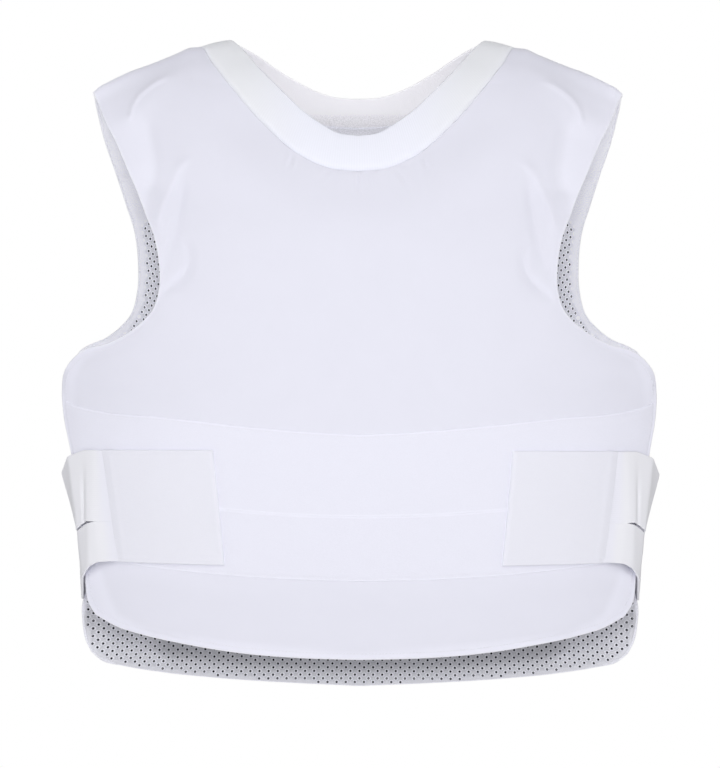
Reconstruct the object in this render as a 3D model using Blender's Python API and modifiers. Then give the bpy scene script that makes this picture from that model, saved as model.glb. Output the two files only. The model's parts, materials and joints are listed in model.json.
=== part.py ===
"""Covert stab vest in its worn shape: a padded front and back joined at the shoulders, a ribbed collar,
a perforated lining, two strips of loop fabric and the elastic side straps with their hook tabs.

Metres. +X is to the right of someone who looks at the front, the front faces -Y, +Z is up. The origin
is midway between the shoulders, in the plane of the shoulder seams, level with the collar's highest point.
"""
import bmesh
import bpy
import numpy as np

COLLECTION = "stab_vest"

# Thicknesses
PAD = 0.0080            # panel over its armour
EDGE = 0.0032           # panel at its sewn edge
PAD_MARGIN = 0.016      # from the sewn edge to the full pad
LINING = 0.0010
COLLAR = 0.0020
COLLAR_WIDTH = 0.026    # from the collar's seam to its free edge
BAND = 0.0010
TAB = 0.0022
STRAP = 0.0016

# Clearances between pieces that touch on the real vest
SEAM_GAP = 0.0003       # each panel to the shoulder seam's middle
COLLAR_GAP = 0.0007     # collar to the panels' necklines, measured in the cloth
LAYER_GAP = 0.0005      # between layers that lie on each other
BAND_INSET = 0.0060     # strip of loop fabric to the front's side edge

# The worn form. The shoulder ridge runs over the top at y = 0. From it each side drops in a quarter
# arch to one level, and then follows the chest or the back straight down.
ARCH_BASE = -0.125      # level where the arch ends
ARCH_RUN = 0.095        # cloth measured down the arch is this times a quarter turn
ARCH_QUARTER = ARCH_RUN * np.pi / 2
# The ridge, (x, height), over the neck opening, the collar and the shoulder
COLLAR_SHOULDER = (0.1033, -0.0020)
SHOULDER_NECK = (0.1254, -0.0072)
SHOULDER_TIP = (0.2098, -0.0440)
RIDGE = ((0.0, 0.0120), (0.0500, 0.0085), (0.0900, 0.0012), COLLAR_SHOULDER, SHOULDER_NECK,
         (0.1333, -0.0080), (0.1412, -0.0112), (0.1649, -0.0208), (0.1807, -0.0266), (0.1965, -0.0342),
         (0.2044, -0.0385), SHOULDER_TIP)

# Middle line of each side, (height, depth)
PROFILE = {
    "front": ((0.02, -0.076), (-0.08, -0.083), (-0.125, -0.0915), (-0.16, -0.1005), (-0.20, -0.1070),
              (-0.25, -0.1120), (-0.30, -0.1135), (-0.35, -0.1125), (-0.42, -0.1070), (-0.50, -0.0940)),
    "back": ((0.02, 0.070), (-0.05, 0.076), (-0.12, 0.084), (-0.20, 0.089),
             (-0.30, 0.087), (-0.42, 0.080), (-0.53, 0.078)),
}
# How each side curves round the body: depth lost for x squared and for x to the fourth
ROUND = {"front": (0.95, 11.5), "back": (0.75, 4.0)}
OUTWARD = {"front": -1, "back": 1}
# Broad dents and rolls of the front, each along a line on the right half:
# (name, start x, start height, end x, end height, half width, rise)
FRONT_WAVES = (
    ("pad corner", 0.1500, -0.0340, 0.1780, -0.0640, 0.011, 0.0022),
    ("hollow inside the armhole edge", 0.1420, -0.1250, 0.1400, -0.1900, 0.013, -0.0026),
    ("armhole roll", 0.1500, -0.1350, 0.1490, -0.2000, 0.010, 0.0018),
    ("dip over the side seam", 0.1500, -0.2780, 0.2080, -0.2700, 0.013, -0.0022),
)

# Outlines of the right half, (x, height). A line is smooth through its points.
NECKLINE = {
    "front": (SHOULDER_NECK, (0.1108, -0.0262), (0.0974, -0.0436), (0.0796, -0.0653), (0.0669, -0.0784),
              (0.0511, -0.0929), (0.0355, -0.1024), (0.0198, -0.1080), (0.0, -0.1097)),
    "back": (SHOULDER_NECK, (0.1180, -0.0200), (0.1020, -0.0330), (0.0800, -0.0460), (0.0550, -0.0565),
             (0.0280, -0.0630), (0.0, -0.0650)),
}
COLLAR_TOP = {
    "front": (COLLAR_SHOULDER, (0.0903, -0.0108), (0.0754, -0.0285), (0.0593, -0.0454), (0.0435, -0.0611),
              (0.0278, -0.0732), (0.0160, -0.0803), (0.0, -0.0829)),
    "back": (COLLAR_SHOULDER, (0.0938, -0.0040), (0.0780, -0.0118), (0.0620, -0.0221), (0.0457, -0.0312),
             (0.0293, -0.0385), (0.0128, -0.0421), (0.0, -0.0426)),
}
# The outer edge in bands, top to bottom. Each band goes on from the last point of the one before.
OUTER_EDGE = {
    "front": {
        "shoulder": (SHOULDER_TIP, (0.2064, -0.0497), (0.1977, -0.0693), (0.1885, -0.0869), (0.1794, -0.1076)),
        "armhole": ((0.1704, -0.1264), (0.1635, -0.1432), (0.1568, -0.1600), (0.1535, -0.1800),
                    (0.1536, -0.2000)),
        "underarm": ((0.1587, -0.2158), (0.1731, -0.2296), (0.1954, -0.2409), (0.2140, -0.2457)),
        "lobe": ((0.2232, -0.2517), (0.2309, -0.2634), (0.2323, -0.2786), (0.2309, -0.2993)),
        "flank": ((0.2245, -0.3270), (0.2190, -0.3700), (0.2128, -0.4243)),
        "corner": ((0.2129, -0.4338), (0.2105, -0.4421), (0.2035, -0.4535)),
    },
    "back": {
        "shoulder": (SHOULDER_TIP, (0.2075, -0.0578), (0.2026, -0.0806), (0.1941, -0.1070)),
        "armhole": ((0.1861, -0.1306), (0.1804, -0.1475), (0.1776, -0.1767), (0.1785, -0.1980)),
        "underarm": ((0.1847, -0.2181), (0.1931, -0.2276), (0.2048, -0.2362), (0.2165, -0.2410)),
        "lobe": ((0.2250, -0.2480), (0.2275, -0.2610), (0.2258, -0.2850)),
        "flank": ((0.2205, -0.3250), (0.2190, -0.3800), (0.2190, -0.4400), (0.2212, -0.4620)),
        "corner": ((0.2200, -0.4780), (0.2152, -0.4880)),
    },
}
HEM = {
    "front": ((0.0, -0.4840), (0.0447, -0.4829), (0.0878, -0.4801), (0.1353, -0.4737), (0.1715, -0.4669),
              (0.1880, -0.4622), (0.2035, -0.4535)),
    "back": ((0.0, -0.5182), (0.0476, -0.5160), (0.1129, -0.5113), (0.1617, -0.5054), (0.1911, -0.4997),
             (0.2065, -0.4955), (0.2152, -0.4880)),
}
# Where each band ends on the middle line, and its number of mesh rows
BAND_ENDS = {
    "front": {"shoulder": (-0.1097, 7), "armhole": (-0.1960, 5), "underarm": (-0.2500, 4),
              "lobe": (-0.3020, 3), "flank": (-0.4300, 4), "corner": (-0.4840, 3)},
    "back": {"shoulder": (-0.0650, 7), "armhole": (-0.1900, 5), "underarm": (-0.2450, 4),
             "lobe": (-0.2900, 3), "flank": (-0.4650, 4), "corner": (-0.5182, 3)},
}
COLUMNS = 9             # even mesh columns of half a panel, between its two narrow ones
NARROW = 0.035          # width of a narrow column or row at a sewn edge, as a share
SEAM_ROW = 0.012        # height of the first mesh row at the shoulder seam, as a share of its band

# Seams across the lower front, (x, height)
SEAM_TOP = ((0.0, -0.3132), (0.0445, -0.3125), (0.0964, -0.3072), (0.1541, -0.2988), (0.2049, -0.2946),
            (0.2211, -0.2902), (0.2320, -0.2858))
SEAM_MIDDLE = ((0.0, -0.3739), (0.0522, -0.3725), (0.1041, -0.3690), (0.2230, -0.3560))
SEAM_LOW = ((0.0, -0.4234), (0.0446, -0.4224), (0.1043, -0.4195), (0.2140, -0.4090))

# Corners of the right tab, (x, height)
TAB_CORNERS = {"inner top": (0.1118, -0.3248), "outer top": (0.1980, -0.3278),
               "inner bottom": (0.1043, -0.4118), "outer bottom": (0.1866, -0.4112)}

# Inner face of each right strap, front to back. A station on the front or the back is measured from
# that panel's outer face, and a free one from y = 0.
# (station, where, top x, top z, top distance, bottom x, bottom z, bottom distance)
STRAP_STATIONS = {
    "upper": (
        ("tab seam", "front", 0.1986, -0.3280, 0.0022, 0.1921, -0.3798, 0.0022),
        ("roll", "front", 0.2060, -0.3284, 0.0032, 0.2040, -0.3790, 0.0066),
        ("crease", "front", 0.2145, -0.3290, 0.0026, 0.2120, -0.3800, 0.0034),
        ("panel edge", "free", 0.2268, -0.3310, -0.0330, 0.2200, -0.3850, -0.0335),
        ("outermost", "free", 0.2328, -0.3430, -0.0080, 0.2200, -0.3900, -0.0060),
        ("behind", "free", 0.2280, -0.3520, 0.0180, 0.2206, -0.3965, 0.0160),
        ("back turn", "free", 0.2216, -0.3565, 0.0365, 0.2211, -0.4025, 0.0360),
        ("on the back", "back", 0.2130, -0.3600, 0.0018, 0.2130, -0.4060, 0.0018),
        ("sewn end", "back", 0.1850, -0.3680, 0.0006, 0.1850, -0.4140, 0.0006),
    ),
    "lower": (
        ("tab seam", "front", 0.1919, -0.3806, 0.0022, 0.1873, -0.4108, 0.0022),
        ("roll", "front", 0.2030, -0.3800, 0.0064, 0.2000, -0.4112, 0.0090),
        ("turn", "front", 0.2115, -0.3815, 0.0060, 0.2085, -0.4140, 0.0086),
        ("panel edge", "free", 0.2190, -0.3862, -0.0315, 0.2150, -0.4235, -0.0330),
        ("outermost", "free", 0.2198, -0.3912, -0.0060, 0.2188, -0.4350, -0.0040),
        ("behind", "free", 0.2206, -0.3978, 0.0160, 0.2202, -0.4400, 0.0160),
        ("back turn", "free", 0.2211, -0.4040, 0.0360, 0.2209, -0.4440, 0.0355),
        ("on the back", "back", 0.2130, -0.4075, 0.0018, 0.2130, -0.4480, 0.0018),
        ("sewn end", "back", 0.1850, -0.4155, 0.0006, 0.1850, -0.4570, 0.0006),
    ),
}

# Colour, roughness and sheen of each cloth
CLOTH = {
    "shell_white": ((0.80, 0.80, 0.88), 0.75, 0.3),
    "mesh_white": ((0.74, 0.74, 0.79), 0.85, 0.2),
    "rib_white": ((0.83, 0.83, 0.89), 0.90, 0.4),
    "loop_white": ((0.84, 0.84, 0.92), 0.90, 0.4),
    "hook_white": ((0.80, 0.80, 0.87), 0.80, 0.2),
    "elastic_white": ((0.78, 0.78, 0.80), 0.80, 0.2),
}


def along(table, place):
    """Smooth value at a place, from rows of (place, value)."""
    table = np.array(table, float)
    places, values = table[np.argsort(table[:, 0])].T
    slopes = np.gradient(values, places)
    place = np.clip(place, places[0], places[-1])
    row = np.clip(np.searchsorted(places, place) - 1, 0, len(places) - 2)
    step = places[row + 1] - places[row]
    t = (place - places[row]) / step
    ends = (2 * t**3 - 3 * t**2 + 1) * values[row] + (3 * t**2 - 2 * t**3) * values[row + 1]
    bends = (t**3 - 2 * t**2 + t) * slopes[row] + (t**3 - t**2) * slopes[row + 1]
    return ends + step * bends


def line_through(points, shares, start=0, end=None):
    """Points at the given shares of a smooth line through points, from one of them to another."""
    points = np.array(points, float)
    end = len(points) - 1 if end is None else end
    chords = np.linalg.norm(np.diff(points, axis=0), axis=1)
    place = np.concatenate([[0.0], np.cumsum(chords)])
    fine = np.linspace(place[start], place[end], 40 * (end - start) + 1)
    line = np.stack([along(np.stack([place, column], 1), fine) for column in points.T], 1)
    length = np.concatenate([[0.0], np.cumsum(np.linalg.norm(np.diff(line, axis=0), axis=1))])
    wanted = np.array(shares) * length[-1]
    return np.stack([np.interp(wanted, length, column) for column in line.T], 1)


def ridge_height(x):
    """Height of the shoulder ridge over x."""
    return along(RIDGE, np.abs(x))


def depth(side, x, z):
    """Depth of the chest or the back at x and height z."""
    square, fourth = ROUND[side]
    return along(PROFILE[side], z) - OUTWARD[side] * (square * x**2 + fourth * x**4)


def run_down(x, z):
    """Cloth measured down from the ridge to height z."""
    share = (ridge_height(x) - z) / (ridge_height(x) - ARCH_BASE)
    over_arch = ARCH_RUN * np.arccos(1 - np.clip(share, 0, 1))
    return over_arch + np.clip(ARCH_BASE - z, 0, None)


def on_cloth(points):
    """Outline points of (x, height) as (x, run down from the ridge)."""
    x, z = np.array(points, float).T
    return np.stack([x, run_down(x, z)], 1)


def wave_rise(x, z):
    """How far the front's dents and rolls move its face outward."""
    rise = np.zeros_like(x)
    for _, x0, z0, x1, z1, half_width, height in FRONT_WAVES:
        reach_x, reach_z = x1 - x0, z1 - z0
        share = ((x - x0) * reach_x + (z - z0) * reach_z) / (reach_x**2 + reach_z**2)
        share = np.clip(share, 0, 1)
        distance = np.hypot(x - x0 - share * reach_x, z - z0 - share * reach_z)
        rise = rise + height * np.exp(-(distance / half_width)**2)
    return rise


def bare_form(side, x, run):
    """Points on a panel's outer face, by x and the cloth's run down from the ridge."""
    turn = np.clip(run / ARCH_RUN, 0, np.pi / 2)
    arch_drop = (ridge_height(x) - ARCH_BASE) * (1 - np.cos(turn))
    z = ridge_height(x) - arch_drop - np.clip(run - ARCH_QUARTER, 0, None)
    y = depth(side, x, z) * np.sin(turn) + OUTWARD[side] * SEAM_GAP
    if side == "front":
        y = y - wave_rise(np.abs(x), z)
    return np.stack([x, y, z], -1)


def on_form(side, x, run, proud=0.0):
    """Points on the panel's outer face, or standing proud of it along its normal."""
    step = 1e-4
    across = bare_form(side, x + step, run) - bare_form(side, x - step, run)
    down = bare_form(side, x, run + step) - bare_form(side, x, np.clip(run - step, 0, None))
    normal = OUTWARD[side] * np.cross(across, down)
    normal /= np.linalg.norm(normal, axis=-1, keepdims=True)
    return bare_form(side, x, run) + np.asarray(proud)[..., None] * normal


def grid_mesh(name, grid, flip=False):
    """Open sheet of quads through a grid of points."""
    rows, columns = grid.shape[:2]
    bm = bmesh.new()
    verts = [[bm.verts.new(point) for point in row] for row in grid]
    for r in range(rows - 1):
        for c in range(columns - 1):
            corners = [verts[r][c], verts[r][c + 1], verts[r + 1][c + 1], verts[r + 1][c]]
            bm.faces.new(corners[::-1] if flip else corners)
    mesh = bpy.data.meshes.new(name)
    bm.to_mesh(mesh)
    bm.free()
    return mesh


def cloth_material(name):
    colour, roughness, sheen = CLOTH[name]
    material = bpy.data.materials.get(name) or bpy.data.materials.new(name)
    material.use_nodes = True
    material.diffuse_color = (*colour, 1.0)
    shader = material.node_tree.nodes["Principled BSDF"]
    shader.inputs["Base Color"].default_value = (*colour, 1.0)
    shader.inputs["Roughness"].default_value = roughness
    shader.inputs["Metallic"].default_value = 0.0
    shader.inputs["Sheen Weight"].default_value = sheen
    return material


def add_piece(name, mesh, cloth, collection):
    piece = bpy.data.objects.new(name, mesh)
    collection.objects.link(piece)
    mesh.materials.append(cloth_material(cloth))
    mesh.shade_smooth()
    return piece


def add_mirror(piece):
    mirror = piece.modifiers.new("both halves", "MIRROR")
    mirror.merge_threshold = 1e-4
    return mirror


def add_thickness(piece, thickness, offset):
    """Wall grown inward (offset -1) or outward (offset 1) from the sheet."""
    wall = piece.modifiers.new("thickness", "SOLIDIFY")
    wall.thickness = thickness
    wall.offset = offset
    return wall


def even(count, first=None, last=None):
    """Shares from 0 to 1 in even steps, with a narrow first or last one where given."""
    low = 0.0 if first is None else first
    high = 1.0 if last is None else 1.0 - last
    shares = list(np.linspace(low, high, count + 1))
    return ([] if first is None else [0.0]) + shares + ([] if last is None else [1.0])


def panel_edges(side):
    """Inner and outer edge of half a panel on the cloth, with the same rows."""
    bands = BAND_ENDS[side]
    outline = [point for band in OUTER_EDGE[side].values() for point in band]
    ends = np.cumsum([len(band) for band in OUTER_EDGE[side].values()]) - 1
    inner, outer = [], []
    top, start = None, 0
    for (name, (bottom, count)), end in zip(bands.items(), ends):
        first = SEAM_ROW if name == "shoulder" else None
        last = 4 * NARROW if name == "corner" else None
        shares = even(count, first, last)
        if name == "shoulder":
            inside = line_through(on_cloth(NECKLINE[side]), shares)
        else:
            runs = run_down(0.0, top) + np.array(shares) * (run_down(0.0, bottom) - run_down(0.0, top))
            inside = np.stack([np.zeros_like(runs), runs], 1)
        outside = line_through(on_cloth(outline), shares, start, end)
        keep = slice(0 if name == "shoulder" else 1, None)
        inner.append(inside[keep])
        outer.append(outside[keep])
        top, start = bottom, end
    return np.concatenate(inner), np.concatenate(outer)


def panel_grid(side):
    """Half a panel on the cloth: rows lofted from the inner to the outer edge, and eased to the hem."""
    inner, outer = panel_edges(side)
    shares = np.array(even(COLUMNS, NARROW, NARROW))
    grid = inner[:, None] + shares[None, :, None] * (outer - inner)[:, None]
    hem = line_through(on_cloth(HEM[side]), shares)
    flank_rows = BAND_ENDS[side]["flank"][1] + BAND_ENDS[side]["corner"][1] + 1
    ease = np.clip((inner[:, 1] - inner[-flank_rows - 1, 1]) / (inner[-1, 1] - inner[-flank_rows - 1, 1]), 0, 1)
    return grid + (ease**2)[:, None, None] * (hem - grid[-1])[None]


def edge_distance(points, edge):
    """Least distance from each point to an edge given as a line of points."""
    start, step = edge[:-1], np.diff(edge, axis=0)
    away = points[:, None] - start[None]
    share = np.clip((away * step).sum(-1) / np.maximum((step**2).sum(-1), 1e-12), 0, 1)
    return np.linalg.norm(away - share[..., None] * step, axis=-1).min(1)


def panel_sheet(side, name, collection):
    """Outer face of a panel, mirrored, with how full its pad is in the group 'pad'."""
    grid = panel_grid(side)
    points = on_form(side, grid[..., 0], grid[..., 1])
    sheet = add_piece(name, grid_mesh(name, points, flip=side == "front"), "shell_white", collection)
    neck_rows = BAND_ENDS[side]["shoulder"][1] + 2
    edge = np.concatenate([points[:neck_rows, 0][::-1], points[0], points[:, -1], points[-1][::-1]])
    reach = edge_distance(points.reshape(-1, 3), edge) / PAD_MARGIN
    full = np.clip(reach, 0, 1)
    full = full**2 * (3 - 2 * full)
    group = sheet.vertex_groups.new(name="pad")
    for index, weight in enumerate(full):
        group.add([index], float(weight), "REPLACE")
    add_mirror(sheet)
    return sheet


def pad_panel(sheet):
    """Grows the panel inward, thick over the armour and thin at the sewn edges."""
    wall = add_thickness(sheet, PAD, -1)
    wall.vertex_group = "pad"
    wall.thickness_vertex_group = EDGE / PAD


def lining_of(panel, name, collection):
    """Mesh lining that lies against the inside of a panel whose thickness isn't on yet."""
    bpy.context.view_layer.update()
    shaped = panel.evaluated_get(bpy.context.evaluated_depsgraph_get())
    mesh = bpy.data.meshes.new_from_object(shaped, preserve_all_data_layers=True,
                                           depsgraph=bpy.context.evaluated_depsgraph_get())
    mesh.name = name
    moved = []
    for vertex in mesh.vertices:
        weight = vertex.groups[0].weight if vertex.groups else 0.0
        inset = EDGE + (PAD - EDGE) * weight + LAYER_GAP
        moved.append(vertex.co - inset * vertex.normal)
    for vertex, place in zip(mesh.vertices, moved):
        vertex.co = place
    mesh.materials.clear()
    lining = add_piece(name, mesh, "mesh_white", collection)
    add_thickness(lining, LINING, -1)


def make_collar(collection):
    """Neck band: a loop over the form, from the panels' necklines to its free edge."""
    stations = {"front": 16, "back": 12}
    rows = []
    for side in ("front", "back"):
        shares = np.linspace(0, 1, stations[side] + 1)
        seam = line_through(on_cloth(NECKLINE[side]), shares)
        free = line_through(on_cloth(COLLAR_TOP[side]), shares)
        across = np.array([COLLAR_GAP / COLLAR_WIDTH, 0.35, 0.68, 1.0])
        cloth = seam[:, None] + across[None, :, None] * (free - seam)[:, None]
        points = on_form(side, cloth[..., 0], cloth[..., 1])
        points[0, :, 1] = 0.0
        rows.append(points[::-1] if side == "front" else points[1:])
    mesh = grid_mesh("collar", np.concatenate(rows))
    collar = add_piece("collar", mesh, "rib_white", collection)
    add_mirror(collar)
    add_thickness(collar, COLLAR, -1)


def make_band(name, upper, lower, collection):
    """Strip of loop fabric between two seams, from side to side of the front."""
    side_bands = [OUTER_EDGE["front"][band] for band in ("lobe", "flank", "corner")]
    side_line = np.concatenate(side_bands)[::-1]
    shares = np.linspace(0, 1, 17)
    rows = []
    for down in np.linspace(0, 1, 4):
        reach = np.full_like(shares, 0.22)
        for _ in range(3):
            x = shares * (reach - BAND_INSET)
            top = along(upper, x) - LAYER_GAP
            bottom = along(lower, x) + LAYER_GAP
            height = top + down * (bottom - top)
            reach = np.interp(height, side_line[:, 1], side_line[:, 0])
        rows.append(on_form("front", x, run_down(x, height), LAYER_GAP))
    band = add_piece(name, grid_mesh(name, np.array(rows), flip=True), "loop_white", collection)
    add_mirror(band)
    add_thickness(band, BAND, 1)


def sides():
    """The two sides of the vest, as a name and a sign of x."""
    return (("right", 1), ("left", -1))


def make_tab(side_name, sign, collection):
    """Hook tab that lies on the strips of loop fabric."""
    corner = {name: np.array(place) for name, place in TAB_CORNERS.items()}
    across = np.linspace(0, 1, 8)[None, :, None]
    down = np.linspace(0, 1, 7)[:, None, None]
    top = corner["inner top"] + across * (corner["outer top"] - corner["inner top"])
    bottom = corner["inner bottom"] + across * (corner["outer bottom"] - corner["inner bottom"])
    place = top + down * (bottom - top)
    x, z = place[..., 0], place[..., 1]
    points = on_form("front", x, run_down(x, z), 2 * LAYER_GAP + BAND)
    points[..., 0] *= sign
    name = f"hook_tab_{side_name}"
    tab = add_piece(name, grid_mesh(name, points, flip=sign > 0), "hook_white", collection)
    add_thickness(tab, TAB, 1)


def strap_edge(stations, first):
    """Top or bottom edge of a strap through its stations, from the given column on."""
    points = []
    for row in stations:
        where, (x, z, distance) = row[1], row[first:first + 3]
        if where == "free":
            points.append((x, distance, z))
        else:
            points.append(on_form(where, np.array(x), run_down(x, z), distance + LAYER_GAP))
    return line_through(points, np.linspace(0, 1, 19))


def make_strap(level, side_name, sign, collection):
    """Elastic strap from the tab's outer edge round the side to the back."""
    stations = STRAP_STATIONS[level]
    top, bottom = strap_edge(stations, 2), strap_edge(stations, 5)
    across = np.linspace(0, 1, 4)[:, None, None]
    points = top[None] + across * (bottom - top)[None]
    points[..., 0] *= sign
    name = f"strap_{level}_{side_name}"
    strap = add_piece(name, grid_mesh(name, points, flip=sign > 0), "elastic_white", collection)
    add_thickness(strap, STRAP, 1)


def clear_scene():
    for thing in list(bpy.data.objects):
        bpy.data.objects.remove(thing, do_unlink=True)


def main():
    clear_scene()
    collection = bpy.data.collections.new(COLLECTION)
    bpy.context.scene.collection.children.link(collection)
    front = panel_sheet("front", "front_panel", collection)
    pad_panel(front)
    back = panel_sheet("back", "back_panel", collection)
    lining_of(back, "back_lining", collection)
    pad_panel(back)
    make_collar(collection)
    make_band("waist_band_upper", SEAM_TOP, SEAM_MIDDLE, collection)
    make_band("waist_band_lower", SEAM_MIDDLE, SEAM_LOW, collection)
    for side_name, sign in sides():
        make_tab(side_name, sign, collection)
        for level in STRAP_STATIONS:
            make_strap(level, side_name, sign, collection)


main()
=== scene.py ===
"""Looks of a covert stab vest in its worn shape: cloth shells over the pads, perforated lining, ribbed
collar, strips of loop fabric, hook tabs, elastic straps and their stitches.

Metres, in the frame's axes. +X is to the right of someone who looks at the front, the front faces -Y,
+Z is up. The worn form is that of the solids, and the outlines keep within a few millimetres of theirs.
A place on a panel is given on its cloth, as x and the run down from the shoulder ridge, so weave and
holes follow the cloth.
"""
import functools
import json

import bpy
import numpy as np
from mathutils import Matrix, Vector, geometry

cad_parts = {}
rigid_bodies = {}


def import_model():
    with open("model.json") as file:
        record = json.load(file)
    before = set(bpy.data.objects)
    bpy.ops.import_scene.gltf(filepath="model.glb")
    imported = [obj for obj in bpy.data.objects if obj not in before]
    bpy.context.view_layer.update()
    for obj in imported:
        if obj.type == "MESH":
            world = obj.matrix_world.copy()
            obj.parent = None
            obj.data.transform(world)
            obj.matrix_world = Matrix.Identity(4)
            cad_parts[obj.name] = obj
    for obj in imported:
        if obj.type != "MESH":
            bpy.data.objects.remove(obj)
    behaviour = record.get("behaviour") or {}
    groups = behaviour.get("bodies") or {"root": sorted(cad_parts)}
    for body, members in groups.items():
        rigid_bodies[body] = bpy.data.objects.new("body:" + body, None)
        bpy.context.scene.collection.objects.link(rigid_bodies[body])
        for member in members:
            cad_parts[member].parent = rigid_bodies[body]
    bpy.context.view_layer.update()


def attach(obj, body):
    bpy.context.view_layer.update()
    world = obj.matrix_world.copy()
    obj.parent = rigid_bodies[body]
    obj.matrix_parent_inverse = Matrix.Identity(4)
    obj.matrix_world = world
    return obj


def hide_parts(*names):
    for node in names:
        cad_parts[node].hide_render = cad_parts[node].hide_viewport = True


# Thicknesses and layers, all but the last one as in the solids
PAD = 0.0080            # panel over its armour
EDGE = 0.0032           # panel at its sewn edge
PAD_MARGIN = 0.016      # from the sewn edge to the full pad
LINING = 0.0010
COLLAR = 0.0020
TAB = 0.0022
STRAP = 0.0016
LAYER_GAP = 0.0005      # between layers that lie on each other
BAND_INSET = 0.0030     # strip of loop fabric to the front's side edge

# The worn form. The shoulder ridge runs over the top at y = 0. From it each side drops in a quarter
# arch to one level, and then follows the chest or the back straight down.
ARCH_BASE = -0.125
ARCH_RUN = 0.095
ARCH_QUARTER = ARCH_RUN * np.pi / 2
COLLAR_SHOULDER = (0.1033, -0.0020)
SHOULDER_NECK = (0.1254, -0.0072)
SHOULDER_TIP = (0.2098, -0.0440)
RIDGE = ((0.0, 0.0120), (0.0500, 0.0085), (0.0900, 0.0012), COLLAR_SHOULDER, SHOULDER_NECK,
         (0.1333, -0.0082), (0.1412, -0.0118), (0.1649, -0.0216), (0.1807, -0.0274), (0.1965, -0.0348),
         (0.2044, -0.0390), SHOULDER_TIP)
# Middle line of each side, (height, depth)
PROFILE = {
    "front": ((0.02, -0.076), (-0.08, -0.083), (-0.125, -0.0915), (-0.16, -0.1005), (-0.20, -0.1070),
              (-0.25, -0.1120), (-0.30, -0.1135), (-0.35, -0.1125), (-0.42, -0.1070), (-0.50, -0.0940)),
    "back": ((0.02, 0.070), (-0.05, 0.076), (-0.12, 0.084), (-0.20, 0.089),
             (-0.30, 0.087), (-0.42, 0.080), (-0.53, 0.078)),
}
# How each side curves round the body: depth lost for x squared and for x to the fourth
ROUND = {"front": (0.95, 11.5), "back": (0.75, 4.0)}
OUTWARD = {"front": -1, "back": 1}

# Outlines of the right half, (x, height). A line is smooth through its points.
NECKLINE = {
    "front": (SHOULDER_NECK, (0.1108, -0.0262), (0.0974, -0.0436), (0.0796, -0.0653), (0.0669, -0.0784),
              (0.0511, -0.0929), (0.0355, -0.1024), (0.0198, -0.1080), (0.0, -0.1097)),
    "back": (SHOULDER_NECK, (0.1180, -0.0200), (0.1020, -0.0330), (0.0800, -0.0460), (0.0550, -0.0565),
             (0.0280, -0.0630), (0.0, -0.0650)),
}
COLLAR_TOP = {
    "front": (COLLAR_SHOULDER, (0.0903, -0.0108), (0.0754, -0.0285), (0.0593, -0.0454), (0.0435, -0.0611),
              (0.0278, -0.0727), (0.0160, -0.0795), (0.0, -0.0820)),
    "back": (COLLAR_SHOULDER, (0.0938, -0.0040), (0.0780, -0.0118), (0.0620, -0.0221), (0.0457, -0.0312),
             (0.0293, -0.0385), (0.0128, -0.0421), (0.0, -0.0426)),
}
# The outer edge in bands, top to bottom. Each band goes on from the last point of the one before.
OUTER_EDGE = {
    "front": {
        "shoulder": (SHOULDER_TIP, (0.2064, -0.0497), (0.1977, -0.0693), (0.1885, -0.0869),
                     (0.1794, -0.1076)),
        "armhole": ((0.1708, -0.1264), (0.1643, -0.1432), (0.1577, -0.1600), (0.1538, -0.1800),
                    (0.1536, -0.2000)),
        "underarm": ((0.1587, -0.2158), (0.1731, -0.2300), (0.1954, -0.2418), (0.2140, -0.2466)),
        "lobe": ((0.2232, -0.2527), (0.2316, -0.2640), (0.2336, -0.2786), (0.2323, -0.2993)),
        "flank": ((0.2272, -0.3250), (0.2210, -0.3700), (0.2154, -0.4243)),
        "corner": ((0.2150, -0.4338), (0.2138, -0.4421), (0.2070, -0.4535)),
    },
    "back": {
        "shoulder": (SHOULDER_TIP, (0.2078, -0.0578), (0.2026, -0.0806), (0.1941, -0.1070)),
        "armhole": ((0.1868, -0.1306), (0.1815, -0.1475), (0.1781, -0.1767), (0.1789, -0.1980)),
        "underarm": ((0.1847, -0.2181), (0.1931, -0.2280), (0.2048, -0.2370), (0.2165, -0.2420)),
        "lobe": ((0.2250, -0.2480), (0.2275, -0.2610), (0.2258, -0.2850)),
        "flank": ((0.2210, -0.3250), (0.2200, -0.3800), (0.2200, -0.4380), (0.2230, -0.4510),
                  (0.2226, -0.4620)),
        "corner": ((0.2200, -0.4780), (0.2152, -0.4880)),
    },
}
HEM = {
    "front": ((0.0, -0.4840), (0.0447, -0.4829), (0.0878, -0.4801), (0.1353, -0.4737), (0.1715, -0.4669),
              (0.1885, -0.4624), (0.2070, -0.4535)),
    "back": ((0.0, -0.5182), (0.0476, -0.5160), (0.1129, -0.5113), (0.1617, -0.5054), (0.1911, -0.4997),
             (0.2065, -0.4955), (0.2152, -0.4880)),
}
# Height where each band ends on the middle line
BAND_ENDS = {
    "front": {"shoulder": -0.1097, "armhole": -0.1960, "underarm": -0.2500, "lobe": -0.3020,
              "flank": -0.4300, "corner": -0.4840},
    "back": {"shoulder": -0.0650, "armhole": -0.1900, "underarm": -0.2450, "lobe": -0.2900,
             "flank": -0.4650, "corner": -0.5182},
}

# Seams across the lower front, (x, height)
SEAM_TOP = ((0.0, -0.3116), (0.0445, -0.3092), (0.0920, -0.3052), (0.1541, -0.2987), (0.2030, -0.2943),
            (0.2220, -0.2902), (0.2330, -0.2858))
SEAM_MIDDLE = ((0.0, -0.3739), (0.0522, -0.3725), (0.1041, -0.3690), (0.2230, -0.3560))
SEAM_LOW = ((0.0, -0.4234), (0.0446, -0.4224), (0.1043, -0.4195), (0.2140, -0.4090))

# Corners of the right tab, (x, height)
TAB_CORNERS = {"inner top": (0.1118, -0.3236), "outer top": (0.1980, -0.3243),
               "inner bottom": (0.1035, -0.4114), "outer bottom": (0.1866, -0.4108)}
# How much narrower each tab is at its inner edge
TAB_NARROWER = {-1: 0.0, 1: 0.0040}

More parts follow.
